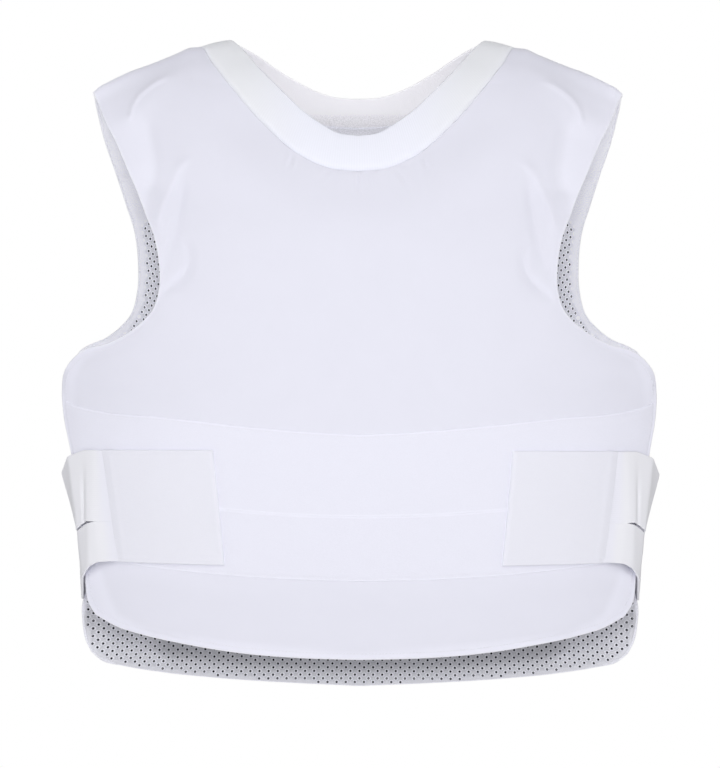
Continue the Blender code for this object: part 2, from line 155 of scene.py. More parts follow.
# Inner face of each right strap, front to back. A station on the front or the back is measured outward
# from a layer's gap over that side's worn form, and a free one from y = 0.
# (station, where, top x, top z, top distance, bottom x, bottom z, bottom distance)
STRAP_STATIONS = {
    "upper": (
        ("under the tab", "front", 0.1930, -0.3247, 0.0000, 0.1880, -0.3804, 0.0000),
        ("tab edge", "front", 0.1985, -0.3247, 0.0003, 0.1935, -0.3804, 0.0003),
        ("roll", "front", 0.2015, -0.3247, 0.0010, 0.1985, -0.3804, 0.0021),
        ("ridge", "front", 0.2050, -0.3247, 0.0013, 0.2050, -0.3798, 0.0043),
        ("before the crease", "front", 0.2105, -0.3248, 0.0011, 0.2098, -0.3797, 0.0043),
        ("crease", "front", 0.2135, -0.3250, 0.0009, 0.2127, -0.3812, 0.0022),
        ("panel edge", "free", 0.2274, -0.3299, -0.0345, 0.2206, -0.3862, -0.0390),
        ("outermost", "free", 0.2342, -0.3433, -0.0100, 0.2219, -0.3900, -0.0060),
        ("behind", "free", 0.2290, -0.3520, 0.0180, 0.2223, -0.3965, 0.0160),
        ("back turn", "free", 0.2222, -0.3565, 0.0365, 0.2218, -0.4025, 0.0360),
        ("on the back", "back", 0.2130, -0.3600, 0.0018, 0.2130, -0.4060, 0.0018),
        ("sewn end", "back", 0.1850, -0.3680, 0.0006, 0.1850, -0.4140, 0.0006),
    ),
    "lower": (
        ("under the tab", "front", 0.1868, -0.3802, -0.0003, 0.1815, -0.4104, 0.0000),
        ("tab edge", "front", 0.1920, -0.3802, 0.0000, 0.1873, -0.4104, 0.0003),
        ("roll", "front", 0.1975, -0.3799, 0.0015, 0.1940, -0.4106, 0.0025),
        ("ridge", "front", 0.2030, -0.3797, 0.0034, 0.2006, -0.4111, 0.0040),
        ("before the turn", "front", 0.2085, -0.3812, 0.0036, 0.2069, -0.4147, 0.0047),
        ("turn", "front", 0.2120, -0.3828, 0.0020, 0.2105, -0.4188, 0.0034),
        ("panel edge", "free", 0.2200, -0.3880, -0.0370, 0.2156, -0.4240, -0.0398),
        ("side", "free", 0.2211, -0.3899, -0.0200, 0.2170, -0.4340, -0.0200),
        ("outermost", "free", 0.2219, -0.3931, 0.0000, 0.2188, -0.4420, 0.0000),
        ("behind", "free", 0.2223, -0.3978, 0.0160, 0.2202, -0.4440, 0.0160),
        ("back turn", "free", 0.2218, -0.4040, 0.0360, 0.2212, -0.4455, 0.0355),
        ("on the back", "back", 0.2130, -0.4075, 0.0018, 0.2130, -0.4490, 0.0018),
        ("sewn end", "back", 0.1850, -0.4155, 0.0006, 0.1850, -0.4570, 0.0006),
    ),
}
# Number of the station with the sharp crease of the upper strap
CREASE = 5
# The vest hangs a little askew: (height, shift of x), and how much the right side is lower per metre
LEAN = ((0.0, -0.0013), (-0.15, -0.0009), (-0.28, 0.0), (-0.37, 0.0012), (-0.44, 0.0008), (-0.52, 0.0))
DROOP = 0.0030

# Broad dents and rolls of the front, as in the solids, each along a line on the right half:
# (name, start x, start height, end x, end height, half width, rise)
FRONT_WAVES = (
    ("pad corner", 0.1500, -0.0340, 0.1780, -0.0640, 0.011, 0.0022),
    ("hollow inside the armhole edge", 0.1420, -0.1250, 0.1400, -0.1900, 0.013, -0.0026),
    ("armhole roll", 0.1500, -0.1350, 0.1490, -0.2000, 0.010, 0.0018),
    ("dip over the side seam", 0.1500, -0.2780, 0.2080, -0.2700, 0.013, -0.0022),
)
# Narrow folds and hollows of the front's cover, most of them beside the armhole, on the right half:
# (name, rise, width towards the middle, width outward, line of (x, height))
FRONT_FOLDS = (
    ("pad corner", 0.0012, 0.0015, 0.0032, ((0.1440, -0.0325), (0.1479, -0.0339), (0.1558, -0.0377),
                                            (0.1636, -0.0431), (0.1699, -0.0486), (0.1745, -0.0558),
                                            (0.1767, -0.0638), (0.1790, -0.0701))),
    ("armhole margin", -0.0011, 0.0055, 0.0075, ((0.1655, -0.0560), (0.1640, -0.0650), (0.1622, -0.0750),
                                                 (0.1600, -0.0860), (0.1578, -0.0960), (0.1570, -0.1050),
                                                 (0.1590, -0.1150), (0.1640, -0.1270))),
    ("first fold", 0.0013, 0.0019, 0.0055, ((0.1240, -0.0940), (0.1299, -0.0994), (0.1353, -0.1047),
                                            (0.1400, -0.1116), (0.1431, -0.1178), (0.1461, -0.1248),
                                            (0.1491, -0.1318), (0.1514, -0.1388), (0.1536, -0.1466),
                                            (0.1551, -0.1544))),
    ("inside the first fold", -0.0016, 0.0042, 0.0062, ((0.1340, -0.1060), (0.1352, -0.1140),
                                                        (0.1362, -0.1240), (0.1375, -0.1330),
                                                        (0.1392, -0.1437), (0.1420, -0.1592),
                                                        (0.1452, -0.1685), (0.1484, -0.1777),
                                                        (0.1530, -0.1931))),
    ("second fold", -0.0006, 0.0016, 0.0020, ((0.1440, -0.1380), (0.1451, -0.1420), (0.1473, -0.1498),
                                              (0.1495, -0.1576), (0.1518, -0.1653), (0.1533, -0.1730))),
    ("third fold", -0.0014, 0.0052, 0.0030, ((0.1372, -0.1590), (0.1350, -0.1624), (0.1322, -0.1671),
                                             (0.1306, -0.1733), (0.1306, -0.1795), (0.1321, -0.1848),
                                             (0.1360, -0.1902), (0.1421, -0.1963), (0.1483, -0.2009),
                                             (0.1538, -0.2062))),
    ("crease of the third fold", -0.0004, 0.0010, 0.0010, ((0.1306, -0.1760), (0.1306, -0.1795),
                                                           (0.1321, -0.1848), (0.1360, -0.1902),
                                                           (0.1421, -0.1963), (0.1538, -0.2062))),
    ("pulled back under the straps", -0.0030, 0.0060, 0.0080, ((0.2235, -0.3350), (0.2195, -0.3700),
                                                               (0.2145, -0.4180))),
)
# The pad inside the front's cover, right half. Outside it the cover is thin and is painted lighter, for the
# light that comes through it.
PAD_OUTLINE = (
    (0.1130, -0.0390), (0.1300, -0.0345), (0.1479, -0.0339), (0.1558, -0.0377), (0.1636, -0.0431),
    (0.1699, -0.0486), (0.1735, -0.0560), (0.1690, -0.0620), (0.1640, -0.0700), (0.1615, -0.0834),
    (0.1590, -0.0946), (0.1575, -0.1057), (0.1585, -0.1180), (0.1640, -0.1270), (0.1640, -0.1432),
    (0.1570, -0.1600), (0.1540, -0.1800), (0.1540, -0.2000), (0.1587, -0.2158), (0.1731, -0.2296),
    (0.1930, -0.2420), (0.2140, -0.2540), (0.2210, -0.2680), (0.2225, -0.2900), (0.2190, -0.3100),
    (0.2120, -0.3400), (0.2060, -0.3800), (0.2020, -0.4150), (0.1960, -0.4350), (0.1880, -0.4520),
    (0.1600, -0.4660), (0.0, -0.4800), (0.0, -0.0390),
)
# How the left and the right half differ: folds moved inward and down, and a share of their rise
FOLD_PLACE = {-1: (0.0, 0.0, 1.0), 1: (0.0032, 0.0025, 0.95)}
# Puckers that run down from the collar's seam: (start x, start height, end x, end height)
PUCKERS = (
    (-0.0224, -0.1085, -0.0310, -0.1212),
    (0.0002, -0.1105, 0.0013, -0.1333),
    (0.0054, -0.1105, 0.0124, -0.1282),
    (0.0296, -0.1080, 0.0452, -0.1316),
    (0.0502, -0.0975, 0.0609, -0.1351),
    (-0.0500, -0.0975, -0.0560, -0.1180),
)
# Soft folds of the back, on the right half, as for the front
BACK_FOLDS = (
    ("blade", 0.0022, 0.022, 0.022, ((0.0700, -0.1000), (0.1150, -0.1500), (0.1450, -0.2150))),
    ("armhole pull", 0.0012, 0.004, 0.007, ((0.1350, -0.1500), (0.1520, -0.1750), (0.1700, -0.2100))),
    ("beside the armhole pull", -0.0010, 0.007, 0.005, ((0.1250, -0.1600), (0.1430, -0.1850),
                                                        (0.1650, -0.2220))),
    ("upper strap pull", 0.0013, 0.007, 0.004, ((0.1780, -0.3850), (0.1300, -0.3950), (0.0800, -0.3920))),
    ("between strap pulls", -0.0012, 0.008, 0.006, ((0.1780, -0.4070), (0.1250, -0.4120),
                                                    (0.0750, -0.4080))),
    ("lower strap pull", 0.0011, 0.004, 0.007, ((0.1780, -0.4330), (0.1200, -0.4300), (0.0700, -0.4230))),
    ("waist hollow", -0.0025, 0.030, 0.030, ((0.0, -0.3500), (0.0800, -0.3550), (0.1500, -0.3700))),
)

# Rows of a panel's mesh: metres from row to row in each band
ROW_STEP = {"front": {"shoulder": 0.0019, "armhole": 0.0017, "underarm": 0.0028, "rest": 0.0031},
            "back": {"rest": 0.0030}}
# Columns of half a panel's mesh: (start and end as shares of its width, metres from column to column)
COLUMNS = {"front": ((0.0, 0.30, 0.0022), (0.30, 0.70, 0.0038), (0.70, 1.0, 0.0014)),
           "back": ((0.0, 1.0, 0.0030),)}
PANEL_WIDTH = 0.2       # width of half a panel that its columns are worked out for
PIECE_STEP = {"band": 0.0016, "tab": 0.0015, "strap": 0.0014}   # from line to line of their meshes
LINING_STEP = 0.01      # from point to point of the lining's mesh where it has no holes
RIM_STEPS = (0.0, 0.0003, 0.0008, 0.0015, 0.0022, 0.0030, 0.0045)   # from an edge to the first mesh lines
RIM = 0.0010            # rounding of a panel's free edge
SEAM_RIM = 0.0006       # rounding where a panel is sewn to the collar or over the shoulder
EDGE_HIGHLIGHT_WIDTH = 0.0013      # width of the painted highlight along a panel's free edge
SEAM_LEDGE = 0.0012     # width of the inner face that turns in at a panel's sewn edge
HOLE_PITCH = 0.00744    # lining's holes along a row
HOLE_ROW = 0.00305      # lining's rows of holes
HOLE_SHIFT = -0.0010    # moves the rows so that the last one is close to the hem
HOLE_SIZE = (0.00094, 0.00104)          # half a hole's width and half its height
HOLE_SIDES = 8
HOLE_TOP = -0.142       # no holes above this height
HEM_MESH = -0.42        # below this height the holes run up to the lining's edge
HOLE_MARGIN = 0.0048    # from the lining's edge to the holes beside the armholes
LINING_INSET = 0.0009   # from the back panel's edge to the lining's
# Beside the armholes the lining's weave is drawn together, and it slants
GATHER_START = 0.145    # outside this x it is drawn together
GATHER_RUNS = (0.166, 0.280, 0.330)     # where the slant starts, and where both begin and stop to fade
GATHER = 0.30           # share of the way beyond the start that it is drawn inward
GATHER_SLANT = 0.16     # how far it slants inward for each metre down
GATHER_DROP = 0.20      # share of the way beyond the start that it is drawn down
NECK_FACING = -0.0535   # height inside the back neck where the ribs end and the mesh begins
COLLAR_RIB = 0.0018     # from rib to rib
STRAP_RIB = 0.00145
STITCH = 0.0023         # one stitch
STITCH_PITCH = 0.0026   # from stitch to stitch
STITCH_SINK = 0.0003    # how far stitches are pressed into the cloth
THREAD = 0.00022        # half the thread's thickness
EDGE_STITCHES = 0.0048  # from a panel's free edge to its line of stitches
SEAM_STITCHES = 0.0021  # from a seam of the loop strips to its line of stitches
TAB_STITCHES = 0.0036   # from a tab's edges to its lines of stitches
COLLAR_WIDTH = 0.026    # from the collar's seam to its free edge
COLLAR_FOLD = 0.0009    # rounding of the collar's free edge
# From an edge of the collar, and from an edge of a strip, tab or strap, to its first mesh lines
COLLAR_STEPS = (0.0, 0.0002, 0.0005, 0.0009, 0.0018, 0.0032)
LIP_STEPS = (0.0, 0.0003, 0.0008, 0.0014, 0.0021, 0.0028, 0.0036, 0.0046)
BAND_PROUD = 0.0007     # strip of loop fabric over the panel's face
TAB_SIDE = 0.087        # a tab's height, and the width that its mesh is worked out for
TAB_RIM = 0.0019        # rounding of a tab's inner edge
STRAP_BEND = 0.0048     # reach of the soft bends at a strap's stations

# Colours as light from each cloth, linear, and the light
SHELL = (0.78, 0.78, 0.875)
# Painted highlight along a panel's free edge
SHELL_EDGE_HIGHLIGHT = (0.90, 0.90, 0.95)
MESH = (0.89, 0.89, 0.96)
# Painted shadow inside the lining's holes
HOLE_SHADOW = (0.02, 0.02, 0.03)
RIB = (0.86, 0.87, 0.96)
RIB_SIDES = (0.84, 0.85, 0.89)
RIB_INSIDE = (0.88, 0.87, 0.90)
LOOP = (0.82, 0.82, 0.92)
HOOK = (0.815, 0.815, 0.895)
ELASTIC = (0.845, 0.845, 0.895)
THREAD_WHITE = (0.80, 0.80, 0.88)
THIN_GAIN = 0.075       # painted light: how much lighter the cover is painted with no pad behind it
COLLAR_SHADE = 0.035    # painted shade: how much darker the front is painted just below the collar
# Painted glow, as of light that comes through thin cloth
SHOULDER_GLOW = 0.15
COLLAR_GLOW = 0.13
BACK_COLLAR_GLOW = (0.20, 0.08)     # through its ribs, and through the mesh below them
LINING_GLOW = 0.14
# Shade of the lining behind the front's hem: (drop below that hem, share of light)
HEM_SHADE = ((-0.030, 1.0), (-0.010, 0.62), (0.013, 0.57), (0.016, 0.60), (0.0195, 0.665),
             (0.0225, 0.79), (0.026, 0.89), (0.029, 0.96), (0.033, 1.0), (0.060, 1.0))
# Light from straight below, from all round and from straight above
AMBIENT = (1.00, 0.24, 0.08)
# (name, place, size, power)
LIGHTS = (
    ("front light", (0.0, -3.0, -0.1), 2.3, 43),
    ("high front light", (0.0, -2.4, 1.6), 1.6, 28),
    ("right light", (2.9, -0.6, 0.3), 1.6, 16.6),
    ("left light", (-2.9, -0.6, 0.3), 1.6, 16.6),
    ("back light", (0.0, 3.0, 0.3), 2.3, 60),
)


def smooth(share):
    """Soft step from 0 to 1."""
    share = np.clip(share, 0, 1)
    return share**2 * (3 - 2 * share)


def bell(distance, width):
    """Soft bump, 1 where the distance is 0."""
    return np.exp(-(distance / width)**2)


def unit(vectors):
    return vectors / np.linalg.norm(vectors, axis=-1, keepdims=True)


def lengths_along(line):
    """Length from a line's first point to each of its points."""
    return np.concatenate([[0.0], np.cumsum(np.linalg.norm(np.diff(line, axis=0), axis=1))])


def moved_aside(line, distance):
    """A line on the cloth, moved across itself by a distance."""
    heading = unit(np.gradient(line, axis=0))
    return line + distance * np.stack([-heading[:, 1], heading[:, 0]], 1)


def along(table, place):
    """Smooth value at a place, from rows of (place, value)."""
    table = np.array(table, float)
    places, values = table[np.argsort(table[:, 0])].T
    slopes = np.gradient(values, places)
    place = np.clip(place, places[0], places[-1])
    row = np.clip(np.searchsorted(places, place) - 1, 0, len(places) - 2)
    step = places[row + 1] - places[row]
    t = (place - places[row]) / step
    ends = (2 * t**3 - 3 * t**2 + 1) * values[row] + (3 * t**2 - 2 * t**3) * values[row + 1]
    bends = (t**3 - 2 * t**2 + t) * slopes[row] + (t**3 - t**2) * slopes[row + 1]
    return ends + step * bends


def line_through(points, shares, start=0, end=None):
    """Points at the given shares of a smooth line through points, from one of them to another."""
    points = np.array(points, float)
    end = len(points) - 1 if end is None else end
    place = lengths_along(points)
    fine = np.linspace(place[start], place[end], 40 * (end - start) + 1)
    line = np.stack([along(np.stack([place, column], 1), fine) for column in points.T], 1)
    wanted = np.array(shares) * line_length(line)
    length = lengths_along(line)
    return np.stack([np.interp(wanted, length, column) for column in line.T], 1)


def line_length(line):
    return np.linalg.norm(np.diff(line, axis=0), axis=1).sum()


def nearest_on_line(x, z, line):
    """Distance from each point to a line, the share of the line where it is nearest, and whether the
    point is on the line's left as the line runs."""
    best = np.full(x.shape, np.inf)
    share = np.zeros(x.shape)
    left = np.zeros(x.shape, bool)
    steps = np.diff(line, axis=0)
    lengths = np.linalg.norm(steps, axis=1)
    before = np.concatenate([[0.0], np.cumsum(lengths)])
    for (x0, z0), (dx, dz), length, start in zip(line[:-1], steps, lengths, before):
        part = np.clip(((x - x0) * dx + (z - z0) * dz) / max(length**2, 1e-12), 0, 1)
        away = np.hypot(x - x0 - part * dx, z - z0 - part * dz)
        near = away < best
        best[near] = away[near]
        share[near] = (start + part[near] * length) / before[-1]
        left[near] = (dx * (z - z0) > dz * (x - x0))[near]
    return best, share, left


def ridge_height(x):
    """Height of the shoulder ridge over x."""
    return along(RIDGE, np.abs(x))


def depth(side, x, z):
    """Depth of the chest or the back at x and height z."""
    square, fourth = ROUND[side]
    return along(PROFILE[side], z) - OUTWARD[side] * (square * x**2 + fourth * x**4)


def run_down(x, z):
    """Cloth measured down from the ridge to height z."""
    share = (ridge_height(x) - z) / (ridge_height(x) - ARCH_BASE)
    over_arch = ARCH_RUN * np.arccos(1 - np.clip(share, 0, 1))
    return over_arch + np.clip(ARCH_BASE - z, 0, None)


def on_cloth(points):
    """Outline points of (x, height) as (x, run down from the ridge)."""
    x, z = np.array(points, float).T
    return np.stack([x, run_down(x, z)], 1)


def wave_rise(x, z):
    """How far the front's broad dents and rolls move its face outward."""
    rise = np.zeros_like(x)
    for _, x0, z0, x1, z1, half_width, height in FRONT_WAVES:
        distance = nearest_on_line(x, z, np.array([(x0, z0), (x1, z1)]))[0]
        rise = rise + height * bell(distance, half_width)
    return rise


def bare_form(side, x, run):
    """Points on the plain worn form, by x and the cloth's run down from the ridge."""
    turn = np.clip(run / ARCH_RUN, 0, np.pi / 2)
    arch_drop = (ridge_height(x) - ARCH_BASE) * (1 - np.cos(turn))
    z = ridge_height(x) - arch_drop - np.clip(run - ARCH_QUARTER, 0, None)
    y = depth(side, x, z) * np.sin(turn)
    if side == "front":
        y = y - wave_rise(np.abs(x), z)
    return np.stack([x, y, z], -1)


def on_form(side, x, run, proud=0.0):
    """Points on the worn form, or standing proud of it along its normal."""
    step = 1e-4
    x, run = np.asarray(x, float), np.asarray(run, float)
    across = bare_form(side, x + step, run) - bare_form(side, x - step, run)
    down = bare_form(side, x, run + step) - bare_form(side, x, np.clip(run - step, 0, None))
    normal = unit(OUTWARD[side] * np.cross(across, down))
    return bare_form(side, x, run) + np.asarray(proud)[..., None] * normal


def fold_rise(x, z, half, folds):
    """Rise of the narrow folds of one half of a panel."""
    inward, down, part = FOLD_PLACE[half]
    rise = np.zeros_like(x)
    for _, height, inner, outer, points in folds:
        line = line_through(points, np.linspace(0, 1, 24)) - (inward, down)
        distance, share, left = nearest_on_line(x * half, z, line)
        fade = smooth(share / 0.25) * smooth((1 - share) / 0.12)
        rise = rise + part * height * bell(distance, np.where(left, outer, inner)) * fade
    return rise


def thin_cover(x, z):
    """Where the front's cover has no pad behind it, from 0 to 1."""
    x = np.abs(x)
    ring = np.array(PAD_OUTLINE)
    inside = inside_ring(np.stack([x.ravel(), z.ravel()], 1), ring).reshape(x.shape)
    away = nearest_on_line(x, z, ring[:-1])[0]
    thin = smooth(0.5 + np.where(inside, -away, away) / 0.008)
    return thin * (0.3 + 0.7 * smooth((-0.060 - z) / 0.020))


def below_ridge(x, z):
    """Share of the light that comes through the thin top of the shoulder, at x and height z."""
    return 1 - smooth((ridge_height(x) - z) / 0.018)


def pucker_rise(x, z):
    """Short puckers under the collar."""
    rise = np.zeros_like(x)
    for x0, z0, x1, z1 in PUCKERS:
        distance, share, _ = nearest_on_line(x, z, np.array([(x0, z0), (x1, z1)]))
        groove = bell(distance, 0.0016) - 0.6 * bell(distance - 0.0032, 0.0016)
        rise = rise - 0.0006 * groove * smooth((1 - share) / 0.8)
    return rise


def waist_rise(x, z):
    """The cover pulled in at the loop strips' outer seams, fullest towards the sides."""
    above = z - along(SEAM_TOP, np.abs(x))
    below = along(SEAM_LOW, np.abs(x)) - z
    pucker = 1 + 0.35 * np.sin(x / 0.0031 + 2 * np.sin(x / 0.011))
    side = 0.35 + 0.65 * smooth((np.abs(x) - 0.08) / 0.08)
    full = 0.0012 * side * bell(above - 0.016, 0.009) + 0.0006 * bell(below - 0.014, 0.008)
    tuck = bell(above, 0.0032) + bell(below, 0.0032)
    return full - 0.00018 * pucker * tuck


def uneven_rise(x, z):
    """Slight unevenness of cloth over a pad."""
    waves = np.sin(x / 0.0135 + 1.3 * np.sin(z / 0.031)) * np.sin(z / 0.0172 + 0.8 * np.sin(x / 0.027))
    slow = np.sin(x / 0.029 - z / 0.041) + np.sin(x / 0.047 + z / 0.024)
    return 0.00010 * waves + 0.00012 * slow


def relief(side, x, z):
    """Fine shape of a panel's face over the worn form."""
    folds = FRONT_FOLDS if side == "front" else BACK_FOLDS
    rise = np.where(x < 0, fold_rise(x, z, -1, folds), fold_rise(x, z, 1, folds)) + uneven_rise(x, z)
    if side == "front":
        rise = rise + pucker_rise(x, z) + waist_rise(x, z)
    return rise


def rounding(distance, radius):
    """How far a rounded edge falls away at a distance from it."""
    return radius * (1 - np.sqrt(1 - np.clip(1 - distance / radius, 0, 1)**2))


def mesh_shares(length, step, pack_first=False, pack_last=False, rim=RIM_STEPS):
    """Shares along a length in even steps, packed towards an edge at either end."""
    near = np.array(rim) / length
    low = near[-1] if pack_first else 0.0
    high = 1 - near[-1] if pack_last else 1.0
    shares = np.linspace(low, high, max(2, round((high - low) * length / step)) + 1)
    first = near[:-1] if pack_first else near[:0]
    last = 1 - near[-2::-1] if pack_last else near[:0]
    return np.concatenate([first, shares, last])


def grid_quads(index):
    """Quads of a grid of vertex numbers."""
    return np.stack([index[:-1, :-1], index[:-1, 1:], index[1:, 1:], index[1:, :-1]], -1).reshape(-1, 4)


def closed_faces(faces, count):
    """A sheet's faces, the same ones on its second layer, and the rim between the layers."""
    edges = np.concatenate([np.roll(faces, -k, 1)[:, :2] for k in range(faces.shape[1])])
    forward = edges[:, 0] * count + edges[:, 1]
    backward = edges[:, 1] * count + edges[:, 0]
    rim = edges[~np.isin(forward, backward)]
    rim = np.stack([rim[:, 1], rim[:, 0], rim[:, 0] + count, rim[:, 1] + count], 1)
    return [faces, faces[:, ::-1] + count, rim]


def make_mesh(name, points, faces, cloth, slots, extra=None):
    """Closed smooth mesh. faces is a list of arrays, slots the material number of each array, and extra
    has further numbers for each point, by name."""
    volume = 0.0
    for group in faces:
        first = points[group[:, 0]]
        for k in range(1, group.shape[1] - 1):
            volume += np.einsum("ij,ij->", first, np.cross(points[group[:, k]], points[group[:, k + 1]]))
    if volume < 0:
        faces = [group[:, ::-1] for group in faces]
    sizes = np.concatenate([np.full(len(group), group.shape[1]) for group in faces])
    corners = np.concatenate([group.ravel() for group in faces])
    mesh = bpy.data.meshes.new(name)
    mesh.vertices.add(len(points))
    x, y, z = points.T
    askew = np.stack([x + along(LEAN, z), y, z - DROOP * x], 1)
    mesh.vertices.foreach_set("co", askew.astype(np.float32).ravel())
    mesh.loops.add(len(corners))
    mesh.loops.foreach_set("vertex_index", corners.astype(np.int32))
    mesh.polygons.add(len(sizes))
    mesh.polygons.foreach_set("loop_start", (np.cumsum(sizes) - sizes).astype(np.int32))
    numbers = np.concatenate([np.full(len(group), slot) for group, slot in zip(faces, slots)])
    mesh.polygons.foreach_set("material_index", numbers.astype(np.int32))
    mesh.update(calc_edges=True)
    place = mesh.attributes.new("cloth", "FLOAT_VECTOR", "POINT")
    place.data.foreach_set("vector", cloth.astype(np.float32).ravel())
    for label, values in (extra or {}).items():
        number = mesh.attributes.new(label, "FLOAT", "POINT")
        number.data.foreach_set("value", values.astype(np.float32).ravel())
    mesh.shade_smooth()
    return mesh


def add_piece(name, mesh, materials, nodes=()):
    """Puts a piece of the vest in the scene, in place of the nodes it stands for."""
    piece = bpy.data.objects.new(name, mesh)
    bpy.context.scene.collection.objects.link(piece)
    for material in materials:
        mesh.materials.append(material)
    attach(piece, "root")
    if nodes:
        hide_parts(*nodes)
    return piece


def add_sheet(name, outer, inner, cloth, materials, nodes=()):
    """Closed sheet between two grids of points, which share one grid of cloth places."""
    count = outer[..., 0].size
    faces = closed_faces(grid_quads(np.arange(count).reshape(outer.shape[:2])), count)
    points = np.concatenate([outer.reshape(-1, 3), inner.reshape(-1, 3)])
    cloth = np.concatenate([cloth.reshape(-1, 3)] * 2)
    mesh = make_mesh(name, points, faces, cloth, [0, len(materials) - 1, 0])
    return add_piece(name, mesh, materials, nodes)


def node(tree, kind, inputs=(), **settings):
    """A shader node. inputs has (name or number, value), and a value that is a socket is linked."""
    made = tree.nodes.new(kind)
    for name, value in settings.items():
        setattr(made, name, value)
    for name, value in dict(inputs).items():
        if isinstance(value, bpy.types.NodeSocket):
            tree.links.new(value, made.inputs[name])
        else:
            made.inputs[name].default_value = value
    return made


def maths(tree, operation, first, second=0.0):
    made = node(tree, "ShaderNodeMath", {0: first, 1: second}, operation=operation)
    return made.outputs[0]


def blend_colour(tree, share, first, second):
    made = node(tree, "ShaderNodeMix", {0: share, 6: first, 7: second}, data_type="RGBA")
    return made.outputs[2]


def ripple(tree, place, pitch):
    """Wave from 0 to 1 over a place in metres."""
    angle = maths(tree, "MULTIPLY", place, 2 * np.pi / pitch)
    return maths(tree, "MULTIPLY_ADD", maths(tree, "SINE", angle), 0.5)


def noise(tree, place, size, detail=2.0):
    made = node(tree, "ShaderNodeTexNoise", {"Vector": place, "Scale": 1 / size, "Detail": detail})
    return made.outputs["Fac"]


def ramp(tree, value, start, end, first=0.0, last=1.0):
    """Goes from first to last while a value goes from start to end."""
    made = node(tree, "ShaderNodeMapRange", {"Value": value, "From Min": start, "From Max": end,
                                             "To Min": first, "To Max": last})
    return made.outputs[0]


def stored(tree, label):
    """The number that each point of the mesh has under a label."""
    return node(tree, "ShaderNodeAttribute", attribute_name=label).outputs["Fac"]


def tint(colour, gain=1.0):
    """A colour for a socket, lighter or darker by a gain."""
    return (*[gain * part for part in colour], 1.0)


def start_cloth(name, roughness, sheen):
    """A material with its shader, and the cloth's places as a vector, across and along."""
    material = bpy.data.materials.new(name)
    material.use_nodes = True
    tree = material.node_tree
    shader = tree.nodes["Principled BSDF"]
    shader.inputs["Roughness"].default_value = roughness
    shader.inputs["Sheen Weight"].default_value = sheen
    shader.inputs["Sheen Roughness"].default_value = 0.5
    shader.inputs["Specular IOR Level"].default_value = 0.2
    place = node(tree, "ShaderNodeAttribute", attribute_name="cloth").outputs["Vector"]
    parts = node(tree, "ShaderNodeSeparateXYZ", {0: place})
    return material, tree, shader, place, parts


def finish_cloth(tree, shader, colour, height, relief_size, glow=False):
    """Links the colour, a bump of the given size in metres, and the light that comes through."""
    tree.links.new(colour, shader.inputs["Base Color"])
    bump = node(tree, "ShaderNodeBump", {"Height": height, "Distance": relief_size, "Strength": 1.0})
    tree.links.new(bump.outputs["Normal"], shader.inputs["Normal"])
    if glow:
        tree.links.new(stored(tree, "glow"), shader.inputs["Emission Strength"])
        tree.links.new(colour, shader.inputs["Emission Color"])


def mottled(tree, place, colour, amount, size=0.03):
    """A colour that varies a little over the cloth."""
    return blend_colour(tree, noise(tree, place, size), tint(colour, 1 - amount), tint(colour, 1 + amount))


def woven(name, colour, roughness=0.75, sheen=0.15, pitch=0.0006, bump=0.000012, rim=None):
    """Plain weave with slubs. If rim gives a colour, it is a painted highlight on the free edge, and
    painted light and shade are as marked.
    """
    material, tree, shader, place, parts = start_cloth(name, roughness, sheen)
    warp = ripple(tree, parts.outputs[0], pitch)
    weft = ripple(tree, parts.outputs[1], pitch)
    weave = maths(tree, "MULTIPLY", warp, weft)
    slub = noise(tree, place, 0.0018, 3.0)
    height = maths(tree, "ADD", weave, slub)
    shade = mottled(tree, place, colour, 0.012)
    # The colour is scaled by the painted light and shade marked on the mesh
    if rim:
        marked = {0: shade, "Scale": stored(tree, "shade")}
        shade = node(tree, "ShaderNodeVectorMath", marked, operation="SCALE").outputs[0]
    shade = blend_colour(tree, maths(tree, "MULTIPLY", slub, 0.06), shade, tint(colour, 0.86))
    # Painted highlight along the free edge
    if rim:
        near = ramp(tree, parts.outputs[2], 0.0, EDGE_HIGHLIGHT_WIDTH, 1.0, 0.0)
        shade = blend_colour(tree, near, shade, tint(rim))
    finish_cloth(tree, shader, shade, height, bump, glow=bool(rim))
    return material


def brushed(name, colour, lip, gain, fibre=0.0011, bump=0.00012):
    """Brushed loops, or short hooks: fine grain and tufts, and a painted highlight along the lip, of a
    width and how light it is.
    """
    material, tree, shader, place, parts = start_cloth(name, 0.9, 0.3)
    grain = noise(tree, place, fibre, 4.0)
    tufts = noise(tree, place, 0.006, 2.0)
    height = maths(tree, "ADD", grain, maths(tree, "MULTIPLY", tufts, 0.7))
    shade = blend_colour(tree, grain, tint(colour, 0.965), tint(colour, 1.02))
    # Painted highlight along the lip
    near = ramp(tree, parts.outputs[2], 0.8 * lip, 1.2 * lip, 1.0, 0.0)
    shade = blend_colour(tree, near, shade, tint(colour, gain))
    finish_cloth(tree, shader, shade, height, bump)
    return material


def ribbed(name, colour, pitch, knit, axis=0, dip=0.975, bump=0.000015, far=None):
    """Ribs over one axis of the cloth, with the small stitches of the knit along them. If far gives a
    colour, the third part of the cloth's place blends towards it."""
    material, tree, shader, place, parts = start_cloth(name, 0.85, 0.25)
    rib = ripple(tree, parts.outputs[axis], pitch)
    stitch = ripple(tree, parts.outputs[1 - axis], knit)
    height = maths(tree, "ADD", maths(tree, "MULTIPLY", stitch, 0.5), noise(tree, place, 0.0009, 3.0))
    # The hollows between the ribs are painted darker by dip, as shade
    shade = blend_colour(tree, rib, tint(colour, dip), tint(colour))
    if far:
        far_shade = blend_colour(tree, rib, tint(far, dip), tint(far))
        shade = blend_colour(tree, parts.outputs[2], shade, far_shade)
    finish_cloth(tree, shader, shade, height, bump, glow=bool(far))
    return material


